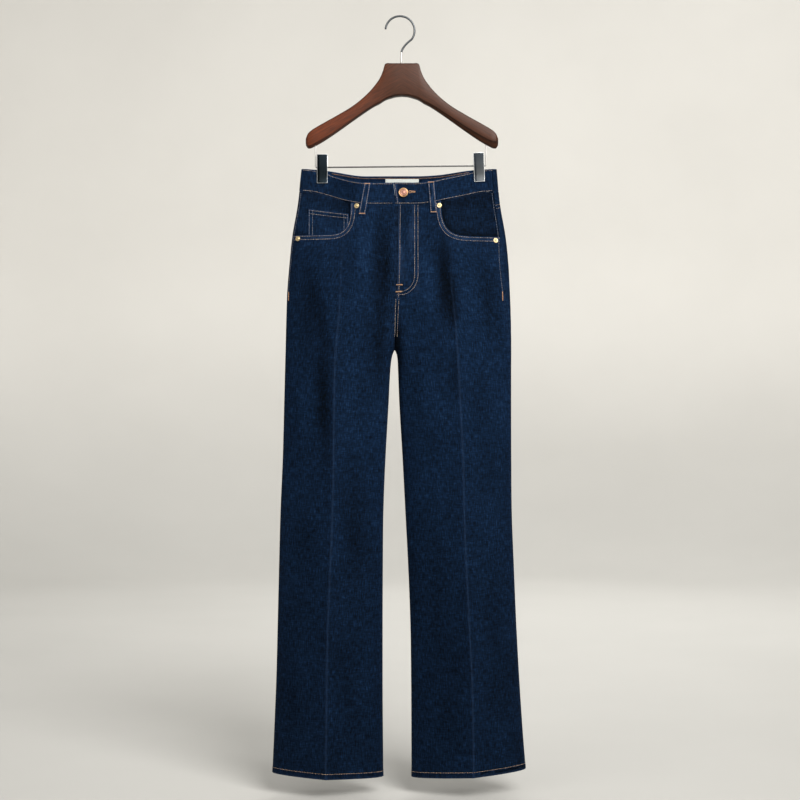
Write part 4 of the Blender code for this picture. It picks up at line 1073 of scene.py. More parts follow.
def yoke(side):
    turn = waist_turns(side, "back", np.linspace(4, 3, 7), BAND_LEVEL)
    low_turn = np.interp(np.linspace(0, 1, len(turn)), np.linspace(0, 1, 50), back_turns(side, np.array(BACK_LEVEL)))
    top = settle_drop(side, turn, lambda x: waist_seam("back", x)) + SEAM / 2
    bottom = settle_drop(side, low_turn, yoke_seam) - SEAM / 2
    share = np.linspace(0, 1, 22)[:, None]
    turns, drops = mix(turn, low_turn, share), mix(top, bottom, share)
    turns[:, -1] = outseam_turn(side, drops[:, -1])
    points, normals = on_form(side, turns, drops)
    points = trim_edges(points, ("last",))
    return cloth("denim_yoke_" + side, "yoke_" + side, points, normals, WALL / 2, -WALL / 2,
                 WORN_SEAM * near(drops - bottom, 2.0), lining=DENIM_INSIDE)


# ---- waistband ----
FLY_TOP_X, FLY_BOTTOM_X = -14.0, -8.0       # the lapped end of the waistband leans
BAND_ROWS, BAND_ROLL = 15, 1.2


def band_grid(side, face, inner_turns, bottom_gap):
    turns = waist_turns(side, face, inner_turns, BAND_LEVEL)
    bottom = settle_drop(side, turns, lambda x: waist_seam(face, x)) - bottom_gap
    top = settle_drop(side, turns, lambda x: band_top(face, x))
    drops = mix(top, bottom, np.linspace(0, 1, BAND_ROWS)[:, None])
    turns = np.broadcast_to(turns, drops.shape).copy()
    turns[:, -1] = outseam_turn(side, drops[:, -1])
    return *on_form(side, turns, drops), drops


def band_wear(points, drops):
    """The folded top edge and the ridges between its stitches are the palest part of a waistband."""
    top, bottom = drops[:1], drops[-1:]
    broken = 0.6 + 0.4 * np.clip(RUMPLE["front"](points[..., 0] * 1.3, drops), -1, 1)
    return broken * np.maximum(0.35 * near(drops - top, 1.1), 0.12 * near(drops - bottom, 1.8))


def band_front(side):
    points, normals, drops = band_grid(side, "front", front_seam_turns(side, 6)[1:], SEAM / 2)
    share = np.linspace(0, 1, BAND_ROWS)
    first_x = points[:, 0, 0]
    end_x = mix(FLY_TOP_X, FLY_BOTTOM_X, share)
    fill = np.linspace(0, 1, 7)[None, :-1]
    x = mix(end_x[:, None], first_x[:, None], fill)
    top, bottom = band_top("front", x[:1]), waist_seam("front", x[-1:]) - SEAM / 2
    drop = mix(top, bottom, share[:, None])
    ends = (*form_at("front", x, drop), drop)
    points, normals, drops = (np.concatenate(pair, axis=1) for pair in zip(ends, (points, normals, drops)))
    points = trim_edges(points, ("first", "last"))
    lift = lap_rise(points[..., 0], drops) if side == "right" else 0
    wear = band_wear(points, drops)
    if side == "right":
        wear[:, :2] = np.maximum(wear[:, :2], 0.2)
    return cloth("denim_band_front_" + side, "waistband_front_" + side, points, normals, BAND_WALL / 2 + lift,
                 -BAND_WALL / 2 + lift, wear, roll_reach=BAND_ROLL)


def band_back():
    halves = []
    for side in SIGN:
        points, normals, drops = band_grid(side, "back", np.linspace(4, 3, 7), SEAM / 2)
        points[:, -1] = trim_edges(points, ("last",))[:, -1]
        halves.append((points, normals, drops))
    middle = (halves[0][0][:, :1] + halves[1][0][:, :1]) / 2
    points, normals, drops = (np.concatenate([left[:, ::-1], right[:, 1:]], axis=1) for left, right in zip(*halves))
    points[:, points.shape[1] // 2] = middle[:, 0]
    return cloth("denim_band_back", "waistband_back", points, normals, BAND_WALL / 2, -BAND_WALL / 2,
                 band_wear(points, drops), roll_reach=BAND_ROLL)


# ---- pieces that lie on or behind the panels ----
FACING_MARGIN = 24.0       # how far a facing runs on behind the front panel
FACING_ROWS = 44
FACING_SIDE = 16.0         # the facing comes up level with the front beside the outseam
FACING_DEPTH = {"left": 3.7, "right": 2.8}
PAINTED_FACING_SHADE = {"left": 0.0, "right": 0.5}       # painted shade behind each scoop


def facing_lift(side, x, drop):
    """How far a facing lies in from the form: level at the waist seam, behind the front at the opening."""
    end_x = SCOOP[side].end_x
    seam = waist_seam("front", x)
    down = (drop - seam) / np.maximum(scoop_drop(side, x) - seam - 6, 4)
    beside = 1 - (x - end_x) * SIGN[side] / 30
    fold = form_point(side, outseam_turn(side, drop), drop)[..., 0]
    near_side = ease((fold - x) * SIGN[side] / FACING_SIDE)
    return -FACING_DEPTH[side] * np.maximum(ease(down), ease(beside)) * near_side


def pocket_facing(side):
    """The denim behind a scoop, from the waist seam to a margin behind the front panel."""
    row = SCOOP[side]
    turns = waist_turns(side, "front", front_seam_turns(side, 6)[-2:], BAND_LEVEL)
    seam_drops = settle_drop(side, turns, lambda x: waist_seam("front", x)) + SEAM / 2
    top_x = form_point(side, turns, seam_drops)[..., 0]
    reach = (top_x - top_x[0]) / (top_x[-1] - top_x[0])
    beside = ease((reach - 0.80) / 0.14)
    rows = []
    for i in range(FACING_ROWS):
        v = i / (FACING_ROWS - 1)
        x, drop = top_x, seam_drops
        for _ in range(3):
            edge = np.where((x - row.end_x) * SIGN[side] < 12, row.side_drop - 6, scoop_drop(side, x))
            drop = mix(seam_drops, edge + mix(FACING_MARGIN, -2 * SEAM, beside), v)
            side_turn = outseam_turn(side, drop)
            fold_x = form_point(side, side_turn, drop)[..., 0]
            x = top_x[0] + reach * (fold_x - top_x[0])
        turn = turns if i == 0 else turn_at(side, "front", x, drop)
        turn = np.array(turn)
        turn[-1] = side_turn[-1]
        rows.append((*on_form(side, turn, drop), facing_lift(side, x, drop), drop))
    points, normals, lifts, levels = (np.array(values) for values in zip(*rows))
    points = trim_edges(trim_edges(points, ("last",)), ("last",))
    below_band = levels - levels[:1]
    # Painted shade: darker by the scoop's edge and just below the waist seam, where the facing lies in shadow.
    shade = PAINTED_FACING_SHADE[side] + 0.7 * near(from_scoop(side, points[..., 0], levels), 9) + 0.35 * near(below_band, 26)
    return cloth("denim_facing_" + side, "pocket_facing_" + side, points, normals, lifts + WALL / 2,
                 lifts - WALL / 2, 0.08 * near(below_band, 1.6), shade)


def lying_grid(face, columns, rows, place, lift):
    """Points and directions of a piece on the front or back: place(u, v) gives its x and drop."""
    u, v = np.meshgrid(np.linspace(-1, 1, columns), np.linspace(0, 1, rows))
    x, drop = place(u, v)
    points, normals = form_at(face, x, drop)
    return points + normals * np.asarray(lift(x, drop, v))[..., None], normals, u, v, x, drop


def edge_wear(u, v, half_width, height, amount=0.24, reach=1.8):
    """Wear that fades in from all four edges of a patch of the given size."""
    away = np.minimum(np.minimum((1 - np.abs(u)) * half_width, v * height), (1 - v) * height)
    return amount * near(away, reach)


COIN_WALL, COIN_GAP = 1.0, 0.75
COIN_LEFT, COIN_RIGHT = -168.5, -95.0
COIN_TOP_LEFT, COIN_TOP_RIGHT, COIN_BOTTOM = 349.5, 359.5, 405.0


def coin_lift(x, drop):
    return facing_lift("left", x, drop) + WALL / 2 + COIN_WALL / 2 + COIN_GAP


def coin_pocket():
    def place(u, v):
        x = mix(COIN_LEFT, COIN_RIGHT, (u + 1) / 2)
        return x, mix(mix(COIN_TOP_LEFT, COIN_TOP_RIGHT, (u + 1) / 2), COIN_BOTTOM, v)

    points, normals, u, v, x, drop = lying_grid("front", 36, 32, place, lambda x, drop, v: coin_lift(x, drop))
    # It is rubbed where a hand goes past it.
    rubbed = 0.45 * np.clip(RUMPLE["back"](x * 4, drop * 4), 0, 1) * ease((u - 0.5) / 0.3) * ease((v - 0.25) / 0.3)
    return cloth("denim_coin_pocket", "coin_pocket", points, normals, COIN_WALL / 2, -COIN_WALL / 2,
                 np.maximum(edge_wear(u, v, 36, 60), rubbed))


SHIELD_LEFT, SHIELD_RIGHT, SHIELD_END, SHIELD_GAP = 14.0, 28.0, 515.0, 0.6


def fly_shield():
    """The strip behind the lapped fly, which closes the gap at the centre front."""
    def place(u, v):
        drop = mix(345.0, SHIELD_END, v)
        narrow = 1 - 0.45 * ease((v - 0.7) / 0.3)
        centre = CENTRE["centre"](drop)
        return centre + mix(-SHIELD_LEFT, SHIELD_RIGHT * narrow, (u + 1) / 2), drop

    points, normals, u, v, x, drop = lying_grid("front", 16, 60, place,
                                                lambda x, drop, v: -(WALL + SHIELD_GAP) + 0 * x)
    return cloth("denim_fly_shield", "fly_shield", points, normals, WALL / 2, -WALL / 2,
                 edge_wear(u, v, 20, 170), finish=DENIM_INSIDE, slot="denim_inside")


BACK_POCKET_X = {"left": -104.0, "right": 93.0}
POCKET_TOP_WIDTH, POCKET_BOTTOM_WIDTH, POCKET_HEIGHT, POCKET_POINT = 134.0, 112.0, 138.0, 20.0
POCKET_BELOW_YOKE, POCKET_GAP = 22.0, 0.75


def back_pocket_place(side, u, v):
    middle = BACK_POCKET_X[side]
    top = float(yoke_seam(middle)) + POCKET_BELOW_YOKE
    x = middle + u * mix(POCKET_TOP_WIDTH, POCKET_BOTTOM_WIDTH, v) / 2
    slope = (np.abs(x - WAIST_CENTRE) - abs(middle - WAIST_CENTRE)) * -0.14
    return x, top + slope + v * (POCKET_HEIGHT + POCKET_POINT * (1 - np.abs(u)))


def back_pocket(side):
    points, normals, u, v, x, drop = lying_grid("back", 45, 48, lambda u, v: back_pocket_place(side, u, v),
                                                lambda x, drop, v: WALL + POCKET_GAP + 0 * x)
    return cloth("denim_back_pocket_" + side, "back_pocket_" + side, points, normals, WALL / 2, -WALL / 2,
                 edge_wear(u, v, 62, 150))


LOOP_WIDTH, LOOP_WALL, LOOP_BOW, LOOP_GAP = 11.5, 1.4, 1.6, 0.5
LOOPS = table(
    "name face top_x bottom_x bottom_drop",
    ("front_left", "front", -60.4, -70.3, 362.5),
    ("front_right", "front", 54.1, 59.0, 359.5),
    ("back_left", "back", -97.0, -99.0, 352.0),
    ("back_right", "back", 88.0, 90.0, 352.0),
    ("back_centre", "back", -3.0, -3.0, 352.0),
)


def loop_place(loop, u, v):
    x = mix(loop.top_x, loop.bottom_x, v) + u * LOOP_WIDTH / 2
    return x, mix(band_top(loop.face, loop.top_x + 0 * x) + 0.4, loop.bottom_drop, v)


def loop_lift(v):
    return BAND_WALL / 2 + LOOP_GAP + LOOP_WALL / 2 + LOOP_BOW * ease(v / 0.2) * ease((1 - v) / 0.2)


def belt_loop(loop):
    points, normals, u, v, x, drop = lying_grid(loop.face, 13, 44, lambda u, v: loop_place(loop, u, v),
                                                lambda x, drop, v: loop_lift(v))
    # The loop's middle is a little proud of its stitched edges.
    crown = 0.25 * (1 - u ** 2)
    mottle = 0.3 * np.clip(RUMPLE["front"](x * 3, drop * 3), 0, 1)
    return cloth("denim_loop_" + loop.name, "belt_loop_" + loop.name, points + normals * (crown - 0.1)[..., None],
                 normals, LOOP_WALL / 2, -LOOP_WALL / 2, np.maximum(edge_wear(u, v, 5.7, 55, 0.55, 1.3), mottle))


LABEL_LEFT, LABEL_RIGHT, LABEL_TOP, LABEL_BOTTOM = -28.5, 32.5, 292.0, 322.0
LABEL_WALL, LABEL_GAP = 0.6, 0.4


def waist_label():
    def place(u, v):
        return mix(LABEL_LEFT, LABEL_RIGHT, (u + 1) / 2), mix(LABEL_TOP, LABEL_BOTTOM, v)

    points, normals, *_ = lying_grid("back", 40, 22, place,
                                     lambda x, drop, v: -(BAND_WALL / 2 + LABEL_GAP + LABEL_WALL / 2) + 0 * x)
    return cloth("tape_waist_label", "waist_label", points, normals, LABEL_WALL / 2, -LABEL_WALL / 2, finish=TAPE,
                 slot="cotton_tape")


# ---- stitching ----
STITCH_PITCH, STITCH_LENGTH, STITCH_WIDTH, STITCH_HEIGHT = 3.2, 2.5, 0.85, 0.38
NEAR_EDGE, SECOND_ROW = 2.2, 8.2        # a double row's distances from its edge
THREAD_LIFT = 0.1
ROWS_OF_STITCHES = {}                   # what has been sewn so far, by the piece it will be
variation = np.random.default_rng(5)


def sew(group, points, normals, pitch=STITCH_PITCH, length=STITCH_LENGTH, width=STITCH_WIDTH,
        height=STITCH_HEIGHT, crosswise=False):
    """Adds a row of stitches along a path that lies on the cloth."""
    step = np.linalg.norm(np.diff(points, axis=0), axis=1)
    along = np.concatenate([[0], np.cumsum(step)])
    count = max(int(round(along[-1] / pitch)), 1)
    at = (np.arange(count) + 0.5) * along[-1] / count

    def read(values, places):
        return np.stack([np.interp(places, along, values[:, k]) for k in range(3)], axis=-1)

    ahead = read(points, at + pitch / 4) - read(points, at - pitch / 4)
    normal = read(normals, at)
    normal /= np.linalg.norm(normal, axis=1, keepdims=True)
    if crosswise:
        ahead = np.cross(normal, ahead)
    ahead -= normal * np.sum(ahead * normal, axis=1, keepdims=True)
    ahead /= np.linalg.norm(ahead, axis=1, keepdims=True)
    lengths = length * variation.uniform(0.92, 1.05, count)
    ROWS_OF_STITCHES.setdefault(group, []).append(
        (read(points, at), ahead, normal, lengths, np.full(count, width), np.full(count, height)))


def stitches(group, finish):
    """One mesh of all the stitches of a group: each is a small tapered strand that dips in at its ends."""
    centre, ahead, normal, length, width, height = (
        np.concatenate(columns) for columns in zip(*ROWS_OF_STITCHES[group]))
    aside = np.cross(normal, ahead)
    length, width, height = length[:, None], width[:, None], height[:, None]
    rings = []
    for end in (-0.3, 0.3):
        middle = centre + ahead * length * end
        rings += [middle + aside * width / 2, middle + normal * height, middle - aside * width / 2,
                  middle - normal * height * 0.6]
    tips = [centre + ahead * length * end - normal * height * 0.3 for end in (-0.5, 0.5)]
    points = np.stack([tips[0]] + rings + [tips[1]], axis=1)
    faces = []
    for k in range(4):
        after = (k + 1) % 4
        faces += [(0, 1 + after, 1 + k), (1 + k, 1 + after, 5 + after, 5 + k), (5 + k, 5 + after, 9)]
    every = [tuple(10 * i + k for k in face) for i in range(len(centre)) for face in faces]
    tone = np.repeat(variation.uniform(0, 1, len(centre)), 10)
    piece = add_mesh("stitches_" + group, points.reshape(-1, 3), every, [finish], attributes={"tone": tone})
    return dress(piece, "denim")


def front_lift(x, drop):
    return WALL / 2 + THREAD_LIFT + np.where(x > CENTRE["centre"](drop), lap_rise(x, drop), 0)


def sew_on(group, face, x, drop, lift, **shape):
    """Sews along places given across the garment and down it."""
    x, drop = floats(x, drop)
    points, normals = form_at(face, x, drop)
    sew(group, points + normals * np.broadcast_to(lift, x.shape)[..., None], normals, **shape)


def sew_front(x, drop, more=0):
    sew_on("front", "front", x, drop, front_lift(x, drop) + more)


def line(start, end, places=60):
    return np.linspace(start, end, places)


TACK = {"pitch": 0.62, "length": 2.3, "width": 0.6, "height": 0.5, "crosswise": True}


def bar_tack(face, start, end, lift):
    """A short bar of close stitches between two places (x, drop)."""
    sew_on("bar_tacks", face, line(start[0], end[0], 12), line(start[1], end[1], 12), lift + 0.1, **TACK)


def sew_waistband():
    band = BAND_WALL / 2 + THREAD_LIFT
    for side, start, end in (("left", -178.0, -15.5), ("right", -11.0, 166.0)):
        x = line(start, end, 160)
        lift = band + (lap_rise(x, 320.0) if side == "right" else 0)
        sew_on("front", "front", x, band_top("front", x) + 2.4, lift)
        sew_on("front", "front", x, waist_seam("front", x) - 1.5, lift)
    down = line(0, 1, 20)
    end_x = mix(FLY_TOP_X, FLY_BOTTOM_X, down)
    end_drop = mix(band_top("front", end_x) + 3, waist_seam("front", end_x) - 3, down)
    sew_on("front", "front", end_x + 2.4, end_drop, band + lap_rise(end_x, end_drop))
    x = line(-179, 178, 320)
    sew_on("back", "back", x, band_top("back", x) + 2.4, band)
    sew_on("back", "back", x, waist_seam("back", x) - 1.5, band)
    inside = line(-126, 124, 300)
    sew_on("band_chain", "back", inside, band_top("back", inside) + 4.2, -band - 0.1, pitch=2.2, length=2.5,
           width=1.9, height=-0.5)


def sew_pockets():
    for side in SIGN:
        angle = scoop_angles(side, 260)[3:]
        for outset in (NEAR_EDGE, SECOND_ROW):
            x, drop = scoop_edge(side, angle, outset)
            keep = (drop > waist_seam("front", x) + 2) & ((x - SECTION[side + "_fold"](drop)) * SIGN[side] < -4)
            sew_front(x[keep], drop[keep])

    def on_coin(group, x, drop):
        sew_on(group, "front", x, drop, coin_lift(x, drop) + COIN_WALL / 2 + THREAD_LIFT)

    for inset in (NEAR_EDGE, NEAR_EDGE + 6):
        x = line(COIN_LEFT + 1.5, COIN_RIGHT - 1.5, 60)
        on_coin("front", x, mix(COIN_TOP_LEFT, COIN_TOP_RIGHT, (x - COIN_LEFT) / (COIN_RIGHT - COIN_LEFT)) + inset)
        for x, top in ((COIN_LEFT + inset, COIN_TOP_LEFT), (COIN_RIGHT - inset, COIN_TOP_RIGHT)):
            on_coin("sides", np.full(50, x), line(top + 2, COIN_BOTTOM - 2, 50))

    for side in SIGN:
        lift = 1.5 * WALL + POCKET_GAP
        for inset in (1.8, 7.6):
            v = np.concatenate([line(0.015, 1, 50), np.ones(80), line(1, 0.015, 50)])
            u = np.concatenate([-np.ones(50), line(-1, 1, 80), np.ones(50)])
            u, v = u * (1 - inset / 60), v * (1 - inset / 150)
            sew_on("back", "back", *back_pocket_place(side, u, v), lift + THREAD_LIFT)
        for inset in (9.0, 15.0):
            sew_on("back", "back", *back_pocket_place(side, line(-0.95, 0.95, 60), inset / 150), lift + THREAD_LIFT)
        for end in (-0.96, 0.96):
            bar_tack("back", *np.transpose(back_pocket_place(side, end, np.array([0.01, 0.07]))), lift)


FLY_TOP, FLY_END = 344, 512
FLY_ROW = 3.6           # the row along the fly's lapped edge, from the centre seam
J_STRAIGHT = 470.0      # the curved rows run straight down to here
J_ROWS = ((24.6, 500.0), (30.6, 506.0))     # each curved row's x and the drop at which it meets the centre


def sew_fly():
    drop = line(FLY_TOP, FLY_END, 90)
    x = CENTRE["centre"](drop) + FLY_ROW
    sew_front(x, drop)
    for row_x, foot in J_ROWS:
        turn = line(0, math.pi / 2, 40)
        bend_x = 1.0 + (row_x - 1.0) * np.cos(turn)
        bend_drop = J_STRAIGHT + (foot - J_STRAIGHT) * np.sin(turn)
        x = np.concatenate([np.full(60, row_x), bend_x[1:], line(0, -8.5, 8)])
        drop = np.concatenate([line(FLY_TOP, J_STRAIGHT, 60), bend_drop[1:], np.full(8, foot)])
        sew_front(x, drop, 0.1)
    for offset in (-1.4, 4.4):
        drop = line(FLY_END + 2, 582, 40)
        x = CENTRE["centre"](drop) + offset
        sew_front(x, drop)
    lift = WALL / 2 + LAP_RISE
    bar_tack("front", (-8.5, 488.5), (3.4, 488.5), lift)
    bar_tack("front", (-9.5, 501), (2.0, 501), lift)
    for offset in (1.8, 7.6):
        drop = line(384, 585, 90)
        x = CENTRE["centre"](drop) + offset
        sew_on("back", "back", x, drop, WALL / 2 + THREAD_LIFT)


def sew_loops():
    for loop in LOOPS:
        v = line(0.03, 0.97, 40)
        for u in (-0.72, 0.72):
            sew_on(loop.face, loop.face, *loop_place(loop, u + 0 * v, v), loop_lift(v) + LOOP_WALL / 2 + 0.05)
        for end in (0.035, 0.965):
            ends = loop_place(loop, np.array([-0.92, 0.92]), np.array([end, end]))
            bar_tack(loop.face, *np.transpose(ends), loop_lift(end) + LOOP_WALL / 2)


def sew_round(group, side, turns, drops, lift, **shape):
    """Sews along places given by their turn round the leg."""
    points, normals = on_form(side, turns, drops)
    sew(group, points + normals * np.asarray(lift)[..., None], normals, **shape)


TACK_TOP, TACK_BOTTOM = 500.0, 516.0


def sew_seams():
    for side in SIGN:
        drop = line(320, TACK_TOP, 90)
        beside = SECTION["outseam"](drop) if side == "right" else 0 * drop
        x = SECTION[side + "_fold"](drop) - SIGN[side] * (beside + 3.0)
        behind = drop < SCOOP[side].side_drop
        lift = np.where(behind, facing_lift(side, x, drop), 0) + WALL / 2 + THREAD_LIFT
        sew_on("sides", "front", x, drop, lift)
        x = float(x[-1])
        bar_tack("front", (x, TACK_TOP), (x + SIGN[side] * 0.4, TACK_BOTTOM), WALL / 2)
        edge = float(outseam_turn(side, 345.0))
        turns = line(3.985, edge + 0.01, 160)
        drops = settle_drop(side, turns, yoke_seam)
        for below in (NEAR_EDGE, SECOND_ROW):
            sew_round("back", side, turns, drops + below, WALL / 2 + THREAD_LIFT)
        for first, last in ((0.02, 1.98), (3.98, 2.02)):
            turns = line(first, last, 150)
            sew_round("hems", side, turns, hem_round(side, turns) - HEM_BAND + 2.8, WALL / 2 + 0.3 + THREAD_LIFT,
                      width=0.9)


HOLE_START, HOLE_END, HOLE_DROP = 14.0, 25.6, 320.6


def sew_buttonhole():
    """A keyhole buttonhole beside the button: close stitches round a narrow slit with a round eye."""
    t = line(0, 1, 120)
    half = np.where(t < 0.5, t * 2, 2 - t * 2)
    x = mix(HOLE_END, HOLE_START, half)
    spread = 0.9 + near(x - HOLE_START - 1.5, 2.2)
    spread = spread * np.sqrt(np.clip((HOLE_END - x) / 1.2, 0, 1)) * np.sqrt(np.clip((x - HOLE_START) / 0.8, 0, 1))
    drop = HOLE_DROP + np.where(t < 0.5, -1, 1) * spread
    lift = BAND_WALL / 2 + lap_rise(x, HOLE_DROP) + 0.1
    sew_on("bar_tacks", "front", x, drop, lift, pitch=0.55, length=1.7, width=0.55, height=0.4, crosswise=True)


def sew_label():
    drop = line(LABEL_TOP + 1, LABEL_BOTTOM - 1, 14)
    for x in (LABEL_LEFT + 1.5, LABEL_RIGHT - 1.5):
        sew_on("label", "back", x + 0 * drop, drop, -(BAND_WALL / 2 + LABEL_GAP + LABEL_WALL + 0.05),
               pitch=2.2, length=1.8, width=0.4, height=-0.25)


# ---- button and rivets ----
def turned(name, slot, node, seat, direction, profile, sides, finishes, inner_radius=0.0):
    """A round piece: a profile of radius and height turned about its direction. The faces inside the inner
    radius take the second finish."""
    angle, outline = circle(sides), np.array(profile[1:-1], float)
    radius, height = outline[:, :1], outline[:, 1:]
    rings = xyz(radius * np.cos(angle), radius * np.sin(angle), height).reshape(-1, 3)
    points = np.concatenate([rings, [[0, 0, profile[0][1]], [0, 0, profile[-1][1]]]])
    base, top = len(rings), len(rings) + 1
    faces = ring_faces(len(outline), sides)[:-2]
    inside = (np.minimum(radius[:-1, 0], radius[1:, 0]) < inner_radius)
    inside &= np.arange(len(inside)) > len(outline) // 2
    finish_of = np.repeat(inside, sides).astype(int).tolist()
    for i in range(sides):
        after = (i + 1) % sides
        faces += [(base, after, i), (top, base - sides + i, base - sides + after)]
        finish_of += [0, 1 if inner_radius else 0]
    turn = np.array(Vector((0, 0, 1)).rotation_difference(Vector(direction)).to_matrix())
    piece = add_mesh(name, points @ turn.T + np.asarray(seat), faces, finishes, face_finish=finish_of, sharp=50)
    return dress(piece, slot, node)


BUTTON_X, BUTTON_DROP = 4.3, 322.3
BUTTON_PROFILE = (
    (0, 0), (3.0, 0), (3.0, 1.1), (7.4, 1.2), (8.1, 1.45), (8.45, 1.9), (8.5, 2.3), (8.3, 2.75), (7.8, 3.1),
    (7.2, 3.15), (6.8, 2.95), (6.5, 2.6), (6.2, 2.4), (5.9, 2.5), (5.4, 2.75), (4.6, 2.8), (4.2, 2.6), (3.9, 2.5),
    (3.4, 2.6), (2.2, 2.85), (1.0, 2.95), (0, 3.0),
)
RIVET_PROFILE = (
    (0, 0), (4.5, 0), (4.55, 0.3), (4.35, 0.65), (3.9, 0.9), (3.3, 0.95), (2.8, 0.8), (2.4, 0.75), (2.1, 0.95),
    (1.9, 1.4), (1.5, 1.8), (0.8, 2.05), (0, 2.1),
)
RIVETS = table(
    "name x drop",
    ("left_waist", -79.7, 346.0),
    ("left_side", -186.5, 404.0),
    ("right_waist", 69.1, 345.5),
    ("right_side", 171.0, 407.5),
)


def fly_button():
    point, normal = form_at("front", BUTTON_X, BUTTON_DROP)
    rise = BAND_WALL / 2 + float(lap_rise(BUTTON_X, BUTTON_DROP)) + 0.1
    return turned("button_fly", "copper", "fly_button", point + normal * rise, normal, BUTTON_PROFILE, 48,
                  [GOLD, COPPER], 6.5)


def rivet(row):
    point, normal = form_at("front", row.x, row.drop)
    return turned("stud_" + row.name, "brass", "rivet_" + row.name, point + normal * (WALL / 2 + 0.1), normal,
                  RIVET_PROFILE, 32, [BRASS])


# ---- hanger ----
HANGER_CENTRE = 1.8
HANGER = table(
    "reach top bottom half_thickness",
    (0, 85.1, 143.8, 10.5),
    (11, 85.1, 144.8, 10.5),
    (21, 85.1, 147.6, 10.3),
    (28.5, 85.3, 150.2, 10.0),
    (31.5, 88.0, 151.8, 9.9),
    (34.5, 98.5, 153.6, 9.8),
    (39.5, 110.5, 157.0, 9.6),
    (50.5, 126.5, 162.8, 9.2),
    (66.7, 144.0, 173.3, 9.0),
    (88, 161.3, 188.3, 8.8),
    (114.5, 177.6, 207.3, 8.8),
    (144.5, 194.4, 227.3, 9.0),
    (159, 202.8, 235.2, 9.0),
    (167, 208.5, 238.6, 8.6),
    (171.5, 213.5, 238.0, 7.6),
    (174, 219.0, 234.5, 5.2),
)
WOOD, WOOD_REACH = curves(HANGER), HANGER[-1].reach
# The bevel along the wood's lower front edge widens along the right arm.
BEVEL_START, BEVEL_RIGHT, BEVEL_LEFT, BEVEL_DEPTH = 2.0, 11.5, 3.5, 4.5
# Painted shade at each point of a section: darker along the rounded top and in the bevel's corner.
WOOD_SHADE = (1, 1, 1, 0.95, 0.8, 0.6, 0.35, 0.15, 0, 0, 0.35, 1, 1, 0.45, 0.6, 0.9, 1, 1)


def wood_section(reach, sign):
    """Half of a cross-section of the wood, from the top to the bottom: depth and drop."""
    top, bottom = float(WOOD["top"](reach)), float(WOOD["bottom"](reach))
    half = float(WOOD["half_thickness"](reach))
    share = reach / WOOD_REACH
    low = mix(BEVEL_START, BEVEL_RIGHT if sign > 0 else BEVEL_LEFT, share ** 1.2)
    depth = min(BEVEL_DEPTH, half * 0.6) * min(1, 0.3 + share * 1.2)
    round_top = min(3.4, (bottom - top) * 0.3)
    outline = [(0.0, top), (half * 0.5, top + 0.05)]
    for k in range(7):
        angle = math.pi / 2 * k / 6
        outline.append((half - round_top + round_top * math.sin(angle), top + round_top * (1 - math.cos(angle))))
    outline += [(half + 0.25, mix(top, bottom, 0.45)), (half, bottom - low - 0.9), (half - 0.15, bottom - low - 0.2),
                (half - 0.7, bottom - low + 0.3), (half - depth * 0.55, bottom - low * 0.5),
                (half - depth, bottom - 1.1), (half - depth - 0.8, bottom - 0.3), (half - depth - 2.0, bottom)]
    outline.append((0.0, bottom))
    return np.array([(max(y, 0.0), drop) for y, drop in outline])


def hanger_wood():
    reach = np.unique(np.concatenate([np.linspace(0, 26, 14), np.linspace(26, 44, 22), np.linspace(44, 160, 60),
                                      np.linspace(160, WOOD_REACH, 16)]))
    stations, places = [], []
    for sign in (-1, 1):
        for r in (reach[:0:-1] if sign < 0 else reach):
            half = wood_section(r, sign)
            ring = np.concatenate([half * (-1, 1), half[-2:0:-1] * (1, 1)])
            stations.append(xyz(HANGER_CENTRE + sign * r, ring[:, 0], -ring[:, 1]))
            places.append(sign * r)
    stations = np.array(stations)
    middles = stations.mean(axis=1, keepdims=True)
    caps = []
    for end, push in ((0, -1), (-1, 1)):
        for shrink, out in ((0.86, 0.5), (0.55, 0.9)):
            cap = middles[end] + (stations[end] - middles[end]) * shrink
            caps.append(cap + np.array([push * out, 0, 0]))
    stations = np.concatenate([[caps[1], caps[0]], stations, [caps[2], caps[3]]])
    along = np.concatenate([[places[0] - 1, places[0] - 0.5], places, [places[-1] + 0.5, places[-1] + 1]]) * 1.25
    around = stations[..., 2] + np.abs(along)[:, None] * 0.45
    uv = np.stack([along[:, None] + 0 * around, around], axis=-1) * MM
    shade = np.tile(WOOD_SHADE + WOOD_SHADE[-2:0:-1], len(stations))
    piece = add_mesh("wood_hanger", stations.reshape(-1, 3), ring_faces(*stations.shape[:2], True), [WALNUT],
                     uv.reshape(-1, 2), {"shade": shade}, sharp=38)
    return dress(piece, "walnut", "hanger_wood")


DOME = ((0.05, 0.97), (0.35, 0.8), (0.75, 0.35))    # the rings of a wire's end: how far out, and how wide


